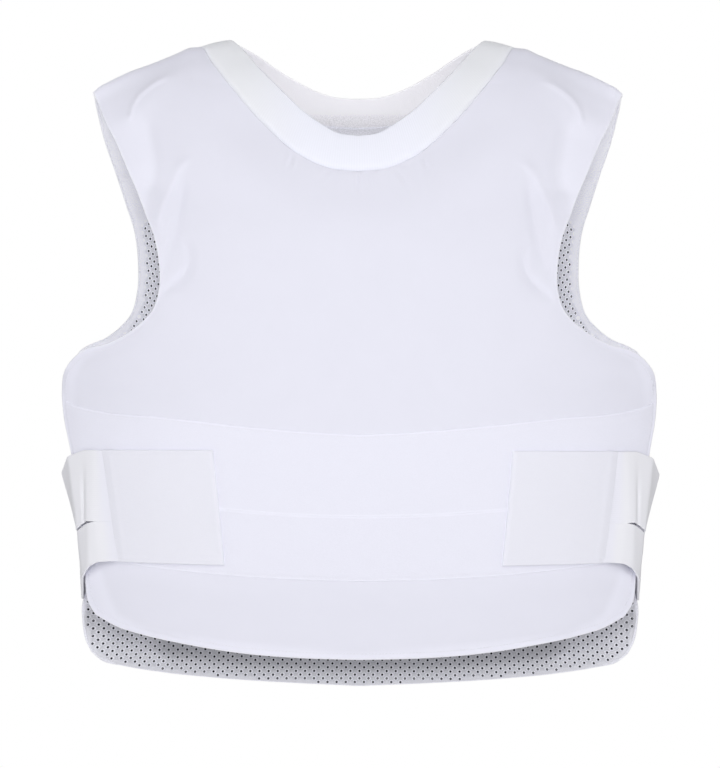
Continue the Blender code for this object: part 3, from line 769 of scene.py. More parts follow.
def perforated(name, colour, holes):
    """Knit with rows of holes. The holes are painted dark, as the shade in them, where the mesh has none.
    """
    material, tree, shader, place, parts = start_cloth(name, 0.85, 0.15)
    grain = noise(tree, place, 0.0008, 3.0)
    rows = maths(tree, "ADD", maths(tree, "DIVIDE", parts.outputs[1], HOLE_ROW), 0.5)
    odd = maths(tree, "MODULO", maths(tree, "FLOOR", rows), 2.0)
    turns = maths(tree, "ADD", maths(tree, "DIVIDE", parts.outputs[0], HOLE_PITCH), 0.5)
    turns = maths(tree, "SUBTRACT", turns, maths(tree, "MULTIPLY", odd, 0.5))
    across = maths(tree, "MULTIPLY", maths(tree, "SUBTRACT", maths(tree, "FRACT", turns), 0.5), HOLE_PITCH)
    down = maths(tree, "MULTIPLY", maths(tree, "SUBTRACT", maths(tree, "FRACT", rows), 0.5), HOLE_ROW)
    away = maths(tree, "SQRT", maths(tree, "ADD", maths(tree, "MULTIPLY", across, across),
                                     maths(tree, "MULTIPLY", down, down)))
    # Lighter rings round the holes and darker knit between them: partly the knit's own pattern, partly a
    # painted highlight on the holes' rims
    far = ramp(tree, away, 0.0015, 0.0023, -1.20, -0.45)
    ring_highlight_and_grain = maths(tree, "ADD", far, maths(tree, "MULTIPLY", grain, 2.6))
    knit = blend_colour(tree, ring_highlight_and_grain, tint(colour, 1.10), tint(colour, 0.76))
    plain = grained(tree, grain, colour)
    if holes:
        # Holes painted dark, as the shade inside them
        holed = maths(tree, "GREATER_THAN", parts.outputs[2], HOLE_MARGIN)
        hole = maths(tree, "MULTIPLY", holed, maths(tree, "LESS_THAN", away, HOLE_SIZE[0]))
        shade = blend_colour(tree, hole, blend_colour(tree, holed, plain, knit), tint(HOLE_SHADOW))
    else:
        shade = blend_colour(tree, ramp(tree, parts.outputs[2], 0.55, 0.95), plain, knit)
        # Painted shade: the colour is darkened by the share of light marked on the lining
        shade = blend_colour(tree, stored(tree, "light"), tint(colour, 0.0), shade)
    finish_cloth(tree, shader, shade, grain, 0.00005, glow=True)
    return material


def grained(tree, grain, colour):
    """The speckled shade of fine mesh without holes."""
    return blend_colour(tree, ramp(tree, grain, 0.36, 0.64), tint(colour, 1.03), tint(colour, 0.84))


def neck_facing(name, ribs, mesh):
    """Inside of the collar: ribs, and below a height at the back the same fine mesh as the lining."""
    material, tree, shader, place, parts = start_cloth(name, 0.85, 0.15)
    grain = noise(tree, place, 0.0009, 3.0)
    rib = ripple(tree, parts.outputs[0], COLLAR_RIB)
    # The hollows between the ribs are painted darker, as shade
    above = blend_colour(tree, rib, tint(ribs, 0.975), tint(ribs))
    ribbing = ramp(tree, parts.outputs[2], -0.003, 0.001)
    shade = blend_colour(tree, ribbing, grained(tree, grain, mesh), above)
    finish_cloth(tree, shader, shade, grain, 0.00003, glow=True)
    return material


def panel_edges(side):
    """Inner and outer edge of half a panel on the cloth, with the same rows, and the neck's last row."""
    outline = [point for band in OUTER_EDGE[side].values() for point in band]
    ends = np.cumsum([len(band) for band in OUTER_EDGE[side].values()]) - 1
    inner, outer = [], []
    top, start, neck_row = None, 0, 0
    for (name, bottom), end in zip(BAND_ENDS[side].items(), ends):
        length = line_length(on_cloth(outline[start:end + 1]))
        step = ROW_STEP[side].get(name, ROW_STEP[side]["rest"])
        shares = mesh_shares(length, step, name == "shoulder", name == "corner")
        if name == "shoulder":
            inside = line_through(on_cloth(NECKLINE[side]), shares)
            neck_row = len(shares) - 1
        else:
            runs = run_down(0.0, top) + shares * (run_down(0.0, bottom) - run_down(0.0, top))
            inside = np.stack([np.zeros_like(runs), runs], 1)
        outside = line_through(on_cloth(outline), shares, start, end)
        keep = slice(0 if name == "shoulder" else 1, None)
        inner.append(inside[keep])
        outer.append(outside[keep])
        top, start = bottom, end
    return np.concatenate(inner), np.concatenate(outer), neck_row


def column_shares(side):
    """Shares across half a panel, closest where the puckers and folds are."""
    rim = np.array(RIM_STEPS) / PANEL_WIDTH
    shares = [rim]
    for start, end, step in COLUMNS[side]:
        start, end = max(start, rim[-1]), min(end, 1 - rim[-1])
        shares.append(np.linspace(start, end, round((end - start) * PANEL_WIDTH / step) + 1)[1:])
    return np.concatenate([*shares, 1 - rim[-2::-1]])


@functools.cache
def panel_cloth(side):
    """Half a panel on the cloth, as a grid of (x, run), and the neck's last row."""
    inner, outer, neck_row = panel_edges(side)
    shares = column_shares(side)
    grid = inner[:, None] + shares[None, :, None] * (outer - inner)[:, None]
    hem = line_through(on_cloth(HEM[side]), shares)
    flank_run = run_down(0.0, BAND_ENDS[side]["lobe"])
    ease = np.clip((inner[:, 1] - flank_run) / (inner[-1, 1] - flank_run), 0, 1)
    return grid + (ease**2)[:, None, None] * (hem - grid[-1])[None], neck_row


@functools.cache
def edge_lines(side):
    """Half a panel's free edge, and its sewn neck and shoulder, on the cloth."""
    grid, neck_row = panel_cloth(side)
    free = np.concatenate([grid[:-1, -1], grid[-1, ::-1]])
    return free, np.concatenate([grid[neck_row:0:-1, 0], grid[0]])


def edge_distances(side, x, run):
    """Distance of places on a panel from its free edge, and from its sewn neck and shoulder."""
    return [nearest_on_line(np.abs(x), run, line)[0] for line in edge_lines(side)]


def pad_thickness(distance):
    return EDGE + (PAD - EDGE) * smooth(distance / PAD_MARGIN)


def face_rise(side, x, run):
    """How far a panel's face is above the worn form, before its edges round off."""
    z = bare_form(side, x, run)[..., 2]
    free, sewn = edge_distances(side, x, run)
    below_armhole = smooth((-0.19 - z) / 0.03)
    thin = 0.0007 * (1 - smooth(free / 0.014)) * below_armhole
    binding = 0.00015 * np.exp(-(free / 0.0016)**4) - 0.00010 * bell(free - 0.0026, 0.0008)
    return relief(side, x, z) * smooth(np.minimum(free, sewn) / 0.005) - thin + binding


def on_panel(side, x, z, proud=0.0):
    """Points over a panel's face, by x and height."""
    run = run_down(x, z)
    return on_form(side, x, run, face_rise(side, x, run) + proud)


def panel_layers(side, grid, half):
    """Outer and inner face of half a panel, its cloth places, its painted light and shade, its painted glow
    for the light that comes through it, and the distance from its nearest edge."""
    x, run = half * grid[..., 0], grid[..., 1]
    free, sewn = edge_distances(side, x, run)
    edge = rounding(free, RIM) + rounding(sewn, SEAM_RIM)
    outer = on_form(side, x, run, face_rise(side, x, run) - edge)
    inner = on_form(side, x, run, edge - pad_thickness(np.minimum(free, sewn)))
    z = outer[..., 2]
    # Painted light and shade: the cover lighter where it is thin, for light that comes through, and darker
    # just below the collar
    thin = thin_cover(x, z) if side == "front" else 1 - smooth(free / 0.012)
    near_collar = (1 - smooth((sewn - 0.012) / 0.030)) * smooth((-0.06 - z) / 0.03)
    shade = 1 + THIN_GAIN * thin - COLLAR_SHADE * near_collar
    more = np.stack([shade, SHOULDER_GLOW * below_ridge(x, z), np.minimum(free, sewn)], -1)
    return outer, inner, np.stack([x, run, free], -1), more


def make_panel(side, name, materials, node_name):
    """A padded panel: both halves joined below the neck, closed all round."""
    grid, neck_row = panel_cloth(side)
    rows, columns = grid.shape[:2]
    right = np.arange(rows * columns).reshape(rows, columns)
    left = right + rows * columns
    left[neck_row:, 0] = right[neck_row:, 0]
    quads = np.concatenate([grid_quads(right), grid_quads(left)[:, ::-1]])
    halves = [panel_layers(side, grid, half) for half in (1, -1)]
    outer, inner, cloth, more = [np.concatenate([part.reshape(-1, 3) for part in layer])
                                 for layer in zip(*halves)]
    used = np.unique(quads)
    number = np.zeros(2 * rows * columns, int)
    number[used] = np.arange(len(used))
    faces = closed_faces(number[quads], len(used))
    points = np.concatenate([outer[used], inner[used]])
    shade, glow, near = more[used].T
    # Painted shade on the ledge that turns in at the sewn edge, and a painted glow on the rest of the inner
    # face, as of light that comes through
    sewn_edge = (near < SEAM_LEDGE) & (cloth[used, 2] > 0.01)
    extra = {"shade": np.concatenate([shade, np.where(sewn_edge, 0.92, 1.0) * shade]),
             "glow": np.concatenate([glow, np.where(sewn_edge, 0.0, 0.08)])}
    inner_cloth = np.concatenate([cloth[used, :2], near[:, None]], 1)
    mesh = make_mesh(name, points, faces, np.concatenate([cloth[used], inner_cloth]), [0, 1, 0], extra)
    return add_piece(name, mesh, materials, [node_name])


def inset_outline(side, inset):
    """A panel's whole outline on the cloth, moved inward, as a closed ring."""
    grid, neck_row = panel_cloth(side)
    parts = [grid[neck_row::-1, 0], grid[0], grid[:, -1], grid[-1, ::-1]]
    line = np.concatenate([part[:-1] for part in parts] + [parts[-1][-1:]])
    moved = []
    for part in parts:
        even_part = line_through(part, np.linspace(0, 1, round(line_length(part) / 0.0025)))
        moved.append(moved_aside(even_part, inset))
    moved = np.concatenate(moved)
    moved[0, 0] = 0.0
    moved[-1, 0] = 0.0
    away = nearest_on_line(moved[:, 0], moved[:, 1], line)[0]
    right = moved[away > 0.99 * inset]
    return np.concatenate([right, right[-2:0:-1] * (-1, 1)])


def inside_ring(points, ring):
    """Which points are inside a closed ring."""
    x, y = points.T
    inside = np.zeros(len(points), bool)
    for (x0, y0), (x1, y1) in zip(ring, np.roll(ring, -1, 0)):
        if y0 == y1:
            continue
        crosses = (y0 > y) != (y1 > y)
        inside ^= crosses & (x < (x1 - x0) * (y - y0) / (y1 - y0) + x0)
    return inside


def triangulate(points, polygons):
    """Triangles inside the first polygon that keep the others' edges: (points, triangles, polygon sets,
    new number of each point)."""
    flat = [Vector(point) for point in points]
    made = geometry.delaunay_2d_cdt(flat, [], [list(map(int, polygon)) for polygon in polygons], 1, 1e-7)
    places, _, triangles, from_points, _, from_polygons = made
    number = np.full(len(points), -1)
    for new, old in enumerate(from_points):
        number[old] = new
    return np.array([place[:] for place in places]), np.array(triangles), from_polygons, number


def on_lining(cloth, level):
    """Points of the lining, at a level above the panel's inner face."""
    x, run = cloth.T
    sunk = pad_thickness(np.minimum(*edge_distances("back", x, run))) + level
    return on_form("back", x, run, -sunk)


def clear_of_ring(points, ring, margin):
    """Which points are inside a ring and further from it than a margin."""
    x, run = points.T
    away = nearest_on_line(x, run, np.concatenate([ring, ring[:1]]))[0]
    return inside_ring(points, ring) & (away > margin)


def gathered(weave):
    """Places on the lining of places in its weave."""
    x, run = weave.T
    top, full, end = GATHER_RUNS
    drawn = 1 - smooth((run - full) / (end - full))
    beyond = np.clip(np.abs(x) - GATHER_START, 0, None)
    slant = GATHER_SLANT * np.clip(run - top, 0, None) * smooth(np.abs(x) / 0.12)
    inward = drawn * (GATHER * beyond + slant)
    return np.stack([x - np.sign(x) * inward, run + drawn * GATHER_DROP * beyond], 1)


def in_weave(places):
    """Places in the lining's weave of places on the lining."""
    weave = places
    for _ in range(20):
        weave = weave + places - gathered(weave)
    return weave


def hole_centres(ring):
    """Holes that fill the lining, in its weave: rows, every other one moved half a step."""
    rows = np.arange(2, int(ring[:, 1].max() / HOLE_ROW) + 1)
    columns = np.arange(-44, 45)
    centres = np.array([((column + 0.5 * (row % 2)) * HOLE_PITCH, row * HOLE_ROW + HOLE_SHIFT)
                        for row in rows for column in columns])
    places = gathered(centres)
    z = bare_form("back", *places.T)[:, 2]
    margin = np.where(z > HEM_MESH, HOLE_MARGIN, 0.0011)
    return centres[(z < HOLE_TOP) & clear_of_ring(places, ring, margin)]


def lining_light(cloth):
    """Share of light on places of the lining, and the light that comes through it."""
    x, run = cloth.T
    z = bare_form("back", x, run)[:, 2]
    free, sewn = edge_distances("back", x, run)
    armhole = smooth((z + 0.40) / 0.05)
    shade = along(HEM_SHADE, along(HEM["front"], np.abs(x)) - z)
    shade = np.clip(shade * (1 + 0.5 * smooth((np.abs(x) - 0.152) / 0.030)), 0, 1)
    shade = shade * (1 - 0.03 * armhole * smooth((free - 0.008) / 0.008))
    corner = smooth((-0.40 - z) / 0.02) * (1 - smooth((-0.447 - z) / 0.010))
    shade = shade * (1 - 0.06 * (1 - smooth(sewn / 0.04)))
    side = (armhole + corner) * (1 - smooth((free - 0.003) / 0.024))
    return shade, LINING_GLOW * side


def make_lining(materials):
    """Perforated lining inside the back. Each hole is a pit, painted dark as the shade inside it."""
    ring = inset_outline("back", LINING_INSET)
    centres = hole_centres(ring)
    angle = (np.arange(HOLE_SIDES) + 0.5) * 2 * np.pi / HOLE_SIDES
    shape = np.stack([HOLE_SIZE[0] * np.cos(angle), HOLE_SIZE[1] * np.sin(angle)], 1)
    holes = gathered((centres[:, None] + shape[None]).reshape(-1, 2))
    hole_corners = len(ring) + np.arange(len(holes)).reshape(-1, HOLE_SIDES)
    spots = np.meshgrid(np.arange(-0.22, 0.221, LINING_STEP), np.arange(LINING_STEP, 0.60, LINING_STEP))
    spots = np.stack(spots, -1).reshape(-1, 2)
    spots = spots[clear_of_ring(spots, ring, 0.003)]
    plain = spots[bare_form("back", *spots.T)[:, 2] > HOLE_TOP + 0.004]
    near, triangles, polygons, number = triangulate(
        np.concatenate([ring, holes, plain]), [np.arange(len(ring)), *hole_corners])
    solid = np.array([list(polygon) == [0] for polygon in polygons])
    far, far_triangles, _, far_number = triangulate(np.concatenate([ring, spots]), [np.arange(len(ring))])
    face = on_lining(near, LAYER_GAP + LINING)
    pits = on_lining(gathered(centres), LAYER_GAP + 0.15 * LINING)
    behind = on_lining(far, LAYER_GAP)
    points = np.concatenate([face, pits, behind])
    corners = number[hole_corners]
    holed = np.zeros(len(points))
    holed[corners] = 1
    holed[len(near):len(near) + len(centres)] = 1
    places = np.concatenate([near, gathered(centres), far])
    cloth = np.concatenate([in_weave(places) - (0, HOLE_SHIFT), holed[:, None]], 1)
    light, glow = lining_light(places)
    tips = np.repeat(len(near) + np.arange(len(centres)), HOLE_SIDES)
    pit_faces = np.stack([corners.ravel(), np.roll(corners, -1, 1).ravel(), tips], 1)
    first_far = len(near) + len(centres)
    rim_near, rim_far = number[:len(ring)], far_number[:len(ring)] + first_far
    rim = np.stack([rim_near, rim_far, np.roll(rim_far, -1), np.roll(rim_near, -1)], 1)
    faces = [triangles[solid], pit_faces, far_triangles[:, ::-1] + first_far, rim]
    mesh = make_mesh("back_lining_mesh", points, faces, cloth, [0, 1, 0, 0], {"light": light, "glow": glow})
    piece = add_piece("back_lining_mesh", mesh, materials, ["back_lining"])


def collar_quarter(side, half, reverse):
    """A quarter of the collar on its cloth: (x, run) by place round the neck and share of the width."""
    seam_points, free_points = on_cloth(NECKLINE[side]), on_cloth(COLLAR_TOP[side])
    length = 0.5 * (line_length(seam_points) + line_length(free_points))
    shares = np.linspace(0, 1, round(length / COLLAR_RIB * 3.2) + 1)
    seam, free = line_through(seam_points, shares), line_through(free_points, shares)
    near = np.array(COLLAR_STEPS) / COLLAR_WIDTH
    across = np.concatenate([near, np.linspace(near[-1], 1 - near[-1], 7)[1:-1], 1 - near[::-1]])
    cloth = seam[:, None] + across[None, :, None] * (free - seam)[:, None]
    if reverse:
        cloth = cloth[::-1]
    return cloth * (half, 1), length, across


def make_collar(materials):
    """Neck band: a loop of folded rib knit over the form, with a rounded fold at its free edge."""
    quarters = (("front", 1, True), ("back", 1, False), ("back", -1, True), ("front", -1, False))
    outer, inner, cloth_rows, more = [], [], [], []
    start = 0.0
    total = sum(collar_quarter(*quarter)[1] for quarter in quarters)
    pitch = total / round(total / COLLAR_RIB)
    for side, half, reverse in quarters:
        cloth, length, across = collar_quarter(side, half, reverse)
        place = start + np.linspace(0, length, len(cloth))[:, None] + 0 * across[None]
        start += length
        wide = across[None] * COLLAR_WIDTH + 0 * place
        rib = 0.00005 * np.cos(2 * np.pi * place / pitch)
        roll = 0.0007 * np.sin(np.pi * np.clip(across, 0, 1))[None]
        x, run = cloth[..., 0], cloth[..., 1]
        seam = (0.0003 + 0.0011 * smooth(run / 0.03)) * bell(wide, 0.0018)
        fold = rounding(COLLAR_WIDTH - wide, COLLAR_FOLD)
        outer.append(on_form(side, x, run, rib + roll - seam - fold)[:-1])
        inner.append(on_form(side, x, run, fold - COLLAR - rib)[:-1])
        from_front = smooth((np.abs(x) - 0.035) / 0.06) if side == "front" else 1 + 0 * wide
        cloth_rows.append(np.stack([place, wide, from_front], -1)[:-1])
        z = bare_form(side, x, run)[..., 2]
        top = COLLAR_GLOW * (1 - smooth((ridge_height(x) - z) / 0.030))
        above = z - NECK_FACING if side == "back" else 1 + 0 * z
        ribs, mesh = BACK_COLLAR_GLOW
        inside = mesh + (ribs - mesh) * smooth(1 + above / 0.013) if side == "back" else top
        more.append(np.stack([top, inside, above], -1)[:-1])
    outer, inner, cloth, more = [np.concatenate(parts).reshape(-1, 3)
                                 for parts in (outer, inner, cloth_rows, more)]
    index = np.arange(len(outer)).reshape(-1, len(across))
    quads = grid_quads(np.concatenate([index, index[:1]]))
    inner_cloth = np.concatenate([cloth[:, :2], more[:, 2:]], 1)
    extra = {"glow": np.concatenate([more[:, 0], more[:, 1]])}
    mesh = make_mesh("neck_band", np.concatenate([outer, inner]), closed_faces(quads, index.size),
                     np.concatenate([cloth, inner_cloth]), [0, 1, 0], extra)
    piece = add_piece("neck_band", mesh, materials, ["collar"])


def make_band(name, upper, lower, materials, node_name):
    """Strip of loop fabric between two seams of the front, from side to side."""
    side_bands = [OUTER_EDGE["front"][band] for band in ("lobe", "flank", "corner")]
    side_line = np.concatenate(side_bands)[::-1]
    shares = mesh_shares(0.43, PIECE_STEP["band"], True, True, LIP_STEPS) * 2 - 1
    middle = np.array([0.0])
    height = (along(upper, middle) - along(lower, middle))[0]
    downs = mesh_shares(height, PIECE_STEP["band"], True, True, LIP_STEPS)
    reach = np.full((len(downs), len(shares)), 0.22)
    for _ in range(3):
        x = shares[None] * (reach - BAND_INSET)
        top, bottom = along(upper, np.abs(x)), along(lower, np.abs(x))
        z = top + downs[:, None] * (bottom - top)
        reach = np.interp(z, side_line[:, 1], side_line[:, 0])
    from_seam = np.minimum(top - z, z - bottom)
    from_middle, from_free = (top - z, z - bottom) if upper is SEAM_MIDDLE else (z - bottom, top - z)
    from_side = reach - BAND_INSET - np.abs(x)
    lip = rounding(np.minimum(from_free, from_side), 0.0003) + rounding(from_middle, 0.00008)
    lip = lip + 0.0003 * (1 - smooth(from_free / 0.0035))
    lip = lip - 0.00010 * bell(from_free - 0.0012, 0.0008) - 0.00018 * bell(from_middle, 0.0012)
    stitched = 0.00012 * bell(from_free - 0.0024, 0.0007)
    wave = 0.00012 * np.sin(x / 0.0065 + 2 * np.sin(z / 0.013)) * np.sin(z / 0.0054 + np.sin(x / 0.021))
    wave = wave * smooth(from_seam / 0.006)
    outer = on_panel("front", x, z, BAND_PROUD + wave - lip - stitched)
    inner = on_panel("front", x, z, -0.0004 + 0 * lip)
    place = np.stack([x, run_down(x, z), from_seam], -1)
    piece = add_sheet(name, outer, inner, place, materials, [node_name])


def tab_place(sign, across, down):
    """(x, height) on a tab by its shares across, outward, and down."""
    corner = {name: np.array(place) for name, place in TAB_CORNERS.items()}
    across, down = across[..., None], down[..., None]
    top = corner["inner top"] + across * (corner["outer top"] - corner["inner top"])
    bottom = corner["inner bottom"] + across * (corner["outer bottom"] - corner["inner bottom"])
    place = top + down * (bottom - top) + (1 - across) * (TAB_NARROWER[sign], 0)
    return place[..., 0] * sign, place[..., 1]


def make_tab(side_name, sign, materials):
    """Hook tab on the loop strips: a soft slab, thin where the straps come out from under it."""
    shares = mesh_shares(TAB_SIDE, PIECE_STEP["tab"], True, True, LIP_STEPS)
    down, across = np.meshgrid(shares, shares, indexing="ij")
    x, z = tab_place(sign, across, down)
    from_outer = TAB_SIDE * (1 - across)
    from_inner = TAB_SIDE * across
    from_end = TAB_SIDE * np.minimum(down, 1 - down)
    from_rim = np.minimum(np.minimum(from_outer, from_inner), from_end)
    rim = rounding(from_inner, TAB_RIM) + rounding(from_end, 0.0009) + rounding(from_outer, 0.0001)
    rim = np.minimum(rim, TAB_RIM)
    stitched = 0.00015 * bell(np.minimum(from_inner, from_end) - TAB_STITCHES, 0.0008)
    wave = 0.00025 * np.sin(x / 0.0105 + sign + np.sin(z / 0.017)) * np.sin(z / 0.0085 + 0.5 * sign)
    wave = wave * smooth(from_rim / 0.012)
    over_strap = 1 - smooth((from_outer - 0.0060) / 0.0030)
    thinned = 1 - smooth(from_outer / 0.0060)
    face = BAND_PROUD + TAB + wave - rim + stitched + 0.0003 * over_strap - 0.0008 * thinned
    outer = on_panel("front", x, z, face)
    inner = on_panel("front", x, z, np.minimum(BAND_PROUD - 0.0003 + 0.0019 * over_strap, face - 0.0003))
    name = f"hook_tab_{side_name}_cloth"
    place = np.stack([x, run_down(x, z), np.minimum(from_inner, from_end + 0.0015)], -1)
    piece = add_sheet(name, outer, inner, place, materials, [f"hook_tab_{side_name}"])


def station_points(stations, first):
    """A strap's stations along its top or bottom edge, from the given column on."""
    points = []
    for row in stations:
        where, (x, z, distance) = row[1], row[first:first + 3]
        if where == "free":
            points.append((x, distance, z))
        else:
            points.append(on_form(where, np.array(x), run_down(x, z), distance + LAYER_GAP))
    return np.array(points)


def bent_line(points, shares, softness):
    """Points at the given shares of straight stretches through points, with soft bends between them,
    and the share of each point."""
    length = lengths_along(points)
    places = np.linspace(0, length[-1], 800)
    reach = round(softness / places[1])
    weights = np.convolve(np.ones(reach), np.ones(reach)) / reach**2
    bent = []
    for column in points.T:
        line = np.interp(places, length, column)
        line = np.pad(line, reach - 1, mode="reflect", reflect_type="odd")
        bent.append(np.interp(shares, places / length[-1], np.convolve(line, weights, "valid")))
    return np.stack(bent, 1), length / length[-1]


def make_strap(level, side_name, sign, flat, materials):
    """Ribbed elastic from under the tab's outer edge round the side to the back."""
    stations = STRAP_STATIONS[level]
    length, width = flat
    shares = mesh_shares(length, PIECE_STEP["strap"], True, True, LIP_STEPS[:4])
    both = np.concatenate([station_points(stations, 2), station_points(stations, 5)], 1)
    both, places = bent_line(both, shares, STRAP_BEND)
    top, bottom = both[:, :3], both[:, 3:]
    downs = mesh_shares(width, PIECE_STEP["strap"], True, True, COLLAR_STEPS[:4])
    inside = top[None] + downs[:, None, None] * (bottom - top)[None]
    normal = unit(np.cross(np.gradient(inside, axis=1), np.gradient(inside, axis=0)))
    away = inside - (0.16, 0, inside[0, 0, 2])
    if (normal * away).sum() < 0:
        normal = -normal
    from_lip = width * np.minimum(downs, 1 - downs)[:, None]
    from_end = length * np.minimum(shares, 1 - shares)[None]
    lip = rounding(from_lip, 0.0004) + rounding(from_end, 0.0004)
    wave = 0.00012 * np.sin(14 * shares + 9 * downs[:, None]) * smooth(from_end / 0.03)
    if level == "upper":
        beside = length * (shares - places[CREASE])[None]
        wave = wave - 0.0012 * bell(beside, 0.0021) * smooth((downs[:, None] - 0.15) / 0.5)
    outer = inside + (STRAP + wave - lip)[..., None] * normal
    inner = inside + (lip + wave)[..., None] * normal
    near_tab = 1 - smooth((length * (shares - places[1]) - 0.001) / 0.008)
    place = np.stack(np.broadcast_arrays(length * shares, width * downs[:, None], near_tab), -1)
    name = f"elastic_{level}_{side_name}"
    piece = add_sheet(name, outer * (sign, 1, 1), inner * (sign, 1, 1), place, materials,
                      [f"strap_{level}_{side_name}"])


def add_stitches(name, lines, materials):
    """Raised stitches along lines of (points, normals), as one piece."""
    shares = np.array([-1.0, -0.5, 0.5, 1.0])
    widths = np.array([0.3, 1.0, 1.0, 0.3]) * THREAD
    lifts = np.array([-0.00022, 0.00002, 0.00002, -0.00022])
    sides = 5
    angles = np.arange(sides) * 2 * np.pi / sides
    points, cloth, faces, caps = [], [], [], []
    count = 0
    for line, normals in lines:
        length = lengths_along(line)
        stitches = int(length[-1] / STITCH_PITCH)
        middles = (np.arange(stitches) + 0.5) * length[-1] / stitches
        places = middles[:, None] + shares[None] * STITCH / 2
        spine = np.stack([np.interp(places, length, column) for column in line.T], -1)
        up = unit(np.stack([np.interp(places, length, column) for column in normals.T], -1))
        heading = unit(np.repeat(spine[:, -1:] - spine[:, :1], len(shares), 1))
        aside = np.cross(heading, up)
        ring = np.cos(angles)[:, None] * aside[:, :, None] + np.sin(angles)[:, None] * up[:, :, None]
        tube = (spine + lifts[None, :, None] * up)[:, :, None] + widths[None, :, None, None] * ring
        index = count + np.arange(tube[..., 0].size).reshape(tube.shape[:3])
        turned = np.roll(index, -1, 2)
        quads = np.stack([index[:, :-1], turned[:, :-1], turned[:, 1:], index[:, 1:]], -1)
        faces.append(quads.reshape(-1, 4))
        caps.append(np.concatenate([index[:, 0, ::-1], index[:, -1]]))
        points.append(tube.reshape(-1, 3))
        cloth.append(np.repeat(places.reshape(-1, 1, 1), sides, 1).reshape(-1, 1) * (1, 0, 0))
        count += tube[..., 0].size
    groups = [np.concatenate(faces), np.concatenate(caps)]
    mesh = make_mesh(name, np.concatenate(points), groups, np.concatenate(cloth), [0, 0])
    return add_piece(name, mesh, materials)


def stitch_line(side, x, run, proud=0.0):
    """Points and normals of a line of stitches over a panel, by x and run."""
    rise = face_rise(side, x, run) + proud
    points = on_form(side, x, run, rise)
    return points, on_form(side, x, run, rise + 0.001) - points


def band_stitches(seam, drop, reach):
    """Line of stitches along a seam of the loop strips, a given drop below it."""
    x = np.linspace(-reach, reach, 300)
    run = run_down(x, along(seam, np.abs(x)) - drop)
    return stitch_line("front", x, run, BAND_PROUD - STITCH_SINK)


def tab_stitches(sign):
    """Lines of stitches inside three edges of a hook tab."""
    inset = TAB_STITCHES / TAB_SIDE
    corners = np.array([(1 - inset, inset), (inset, inset), (inset, 1 - inset), (1 - inset, 1 - inset)])
    lines = []
    for first, last in zip(corners[:-1], corners[1:]):
        across, down = (first + np.linspace(0, 1, 40)[:, None] * (last - first)).T
        x, z = tab_place(sign, across, down)
        lines.append(stitch_line("front", x, run_down(x, z), BAND_PROUD + TAB - STITCH_SINK))
    return lines


def edge_stitches(side, first, last):
    """A line of stitches on each half of a panel, along its free edge between two shares of it."""
    free, _ = edge_lines(side)
    line = line_through(free[::4], np.linspace(first, last, 400))
    x, run = moved_aside(line, EDGE_STITCHES).T
    return [stitch_line(side, half * x, run) for half in (1, -1)]


def add_camera():
    camera = bpy.data.cameras.new("camera")
    camera.lens = 166.1
    camera.sensor_width = 36
    holder = bpy.data.objects.new("camera", camera)
    holder.location = (0.00055, -2.8, -0.273)
    holder.rotation_euler = (np.pi / 2, 0, 0)
    bpy.context.scene.collection.objects.link(holder)
    bpy.context.scene.camera = holder


def add_light(name, place, size, power):
    """Square soft light on the vest that the camera doesn't see."""
    target = (0.0, 0.0, -0.25)
    light = bpy.data.lights.new(name, "AREA")
    light.shape = "SQUARE"
    light.size = size
    light.energy = power
    holder = bpy.data.objects.new(name, light)
    holder.location = place
    holder.rotation_mode = "QUATERNION"
    holder.rotation_quaternion = (Vector(target) - Vector(place)).to_track_quat("-Z", "Y")
    holder.visible_camera = False
    bpy.context.scene.collection.objects.link(holder)


def add_world():
    """White surroundings. Their light on the vest comes mostly from below, as off a white sweep."""
    world = bpy.data.worlds.new("studio")
    bpy.context.scene.world = world
    world.use_nodes = True
    tree = world.node_tree
    tree.nodes.clear()
    seen = node(tree, "ShaderNodeLightPath").outputs["Is Camera Ray"]
    direction = node(tree, "ShaderNodeTexCoord").outputs["Generated"]
    up = node(tree, "ShaderNodeSeparateXYZ", {0: direction}).outputs[2]
    low, level, high = AMBIENT
    below = ramp(tree, up, -1.0, 0.0, low, level)
    above = ramp(tree, up, 0.0, 1.0, 0.0, high - level)
    light = maths(tree, "ADD", below, above)
    strength = node(tree, "ShaderNodeMix", {0: seen, 2: light, 3: 1.0}, data_type="FLOAT")
    background = node(tree, "ShaderNodeBackground", {"Strength": strength.outputs[0]})
    background.inputs["Color"].default_value = (1, 1, 1, 1)
    node(tree, "ShaderNodeOutputWorld", {"Surface": background.outputs[0]})


def add_floor():
    """Pale floor well below the vest, out of the main view."""
    angles = np.arange(96) * 2 * np.pi / 96
    ring = np.stack([8 * np.cos(angles), 8 * np.sin(angles), np.full(96, -1.45)], 1)
    mesh = bpy.data.meshes.new("floor")
    mesh.from_pydata(ring.tolist(), [], [list(range(96))])
    floor = bpy.data.objects.new("floor", mesh)
    bpy.context.scene.collection.objects.link(floor)
    material = bpy.data.materials.new("pale_floor")
    material.use_nodes = True
    tree = material.node_tree
    shader = tree.nodes["Principled BSDF"]
    place = node(tree, "ShaderNodeTexCoord").outputs["Object"]
    shade = blend_colour(tree, noise(tree, place, 0.4), (0.80, 0.80, 0.81, 1.0), (0.83, 0.83, 0.84, 1.0))
    tree.links.new(shade, shader.inputs["Base Color"])
    shader.inputs["Roughness"].default_value = 0.9
    shader.inputs["Emission Color"].default_value = (1, 1, 1, 1)
    shader.inputs["Emission Strength"].default_value = 0.60
    mesh.materials.append(material)
    floor.visible_diffuse = False
    floor.visible_glossy = False


def clear_scene():
    for thing in list(bpy.data.objects):
        bpy.data.objects.remove(thing, do_unlink=True)


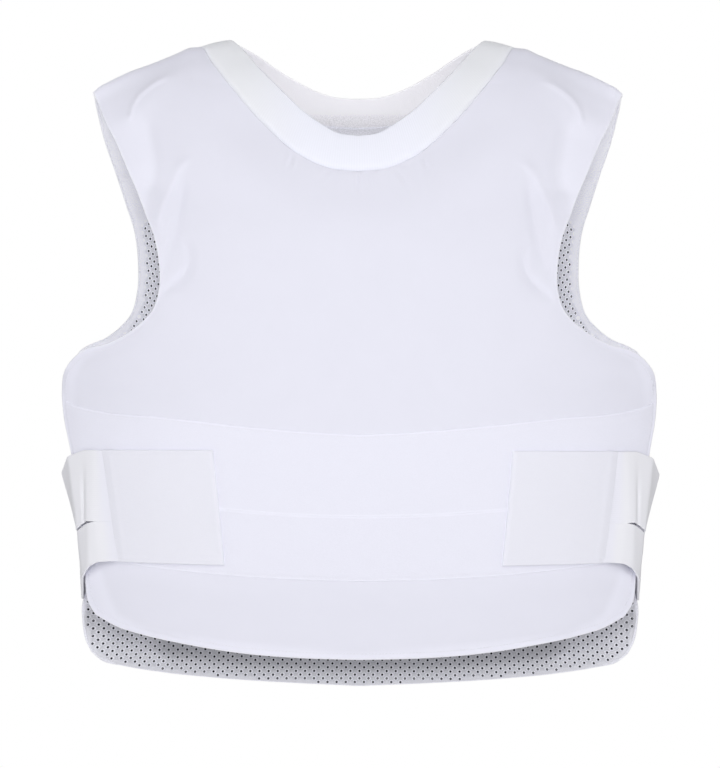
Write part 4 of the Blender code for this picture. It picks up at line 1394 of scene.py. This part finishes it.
def make_vest():
    shell = woven("shell_cloth", SHELL, rim=SHELL_EDGE_HIGHLIGHT)
    inside = perforated("inner_mesh", MESH, holes=True)
    lining = perforated("lining_mesh", MESH, holes=False)
    pit = perforated("lining_hole_shadow", HOLE_SHADOW, holes=False)
    rib = ribbed("collar_rib", RIB, COLLAR_RIB, 0.0009, far=RIB_SIDES)
    loop = brushed("loop_fabric", LOOP, 0.0014, 1.035)
    hook = brushed("hook_fabric", HOOK, 0.0030, 1.01, fibre=0.0008)
    facing = neck_facing("collar_inside", RIB_INSIDE, [0.97 * c for c in RIB_INSIDE])
    elastic = ribbed("elastic", ELASTIC, STRAP_RIB, 0.0008, axis=1, dip=0.985, far=HOOK)
    thread = woven("thread", THREAD_WHITE, roughness=0.5, pitch=0.0004)
    front = make_panel("front", "front_shell", [shell, inside], "front_panel")
    back = make_panel("back", "back_shell", [shell, inside], "back_panel")
    make_lining([lining, pit])
    make_collar([rib, facing])
    make_band("waist_band_upper_cloth", SEAM_TOP, SEAM_MIDDLE, [loop], "waist_band_upper")
    make_band("waist_band_lower_cloth", SEAM_MIDDLE, SEAM_LOW, [loop], "waist_band_lower")
    stitched = ((SEAM_TOP, 1, 0.213), (SEAM_MIDDLE, -1, 0.212), (SEAM_MIDDLE, 1, 0.212),
                (SEAM_LOW, -1, 0.205))
    lines = [band_stitches(seam, way * SEAM_STITCHES, reach) for seam, way, reach in stitched]
    for side_name, sign in (("right", 1), ("left", -1)):
        make_tab(side_name, sign, [hook])
        make_strap("upper", side_name, sign, (0.142, 0.052), [elastic])
        make_strap("lower", side_name, sign, (0.138, 0.043), [elastic])
        lines = lines + tab_stitches(sign)
    add_stitches("waist_stitches", lines, [thread])
    add_stitches("front_edge_stitches", edge_stitches("front", 0.36, 0.999), [thread])
    add_stitches("back_edge_stitches", edge_stitches("back", 0.34, 0.999), [thread])


clear_scene()
bpy.context.scene.view_settings.view_transform = "Standard"
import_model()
add_camera()
add_world()
for light in LIGHTS:
    add_light(*light)
add_floor()
make_vest()
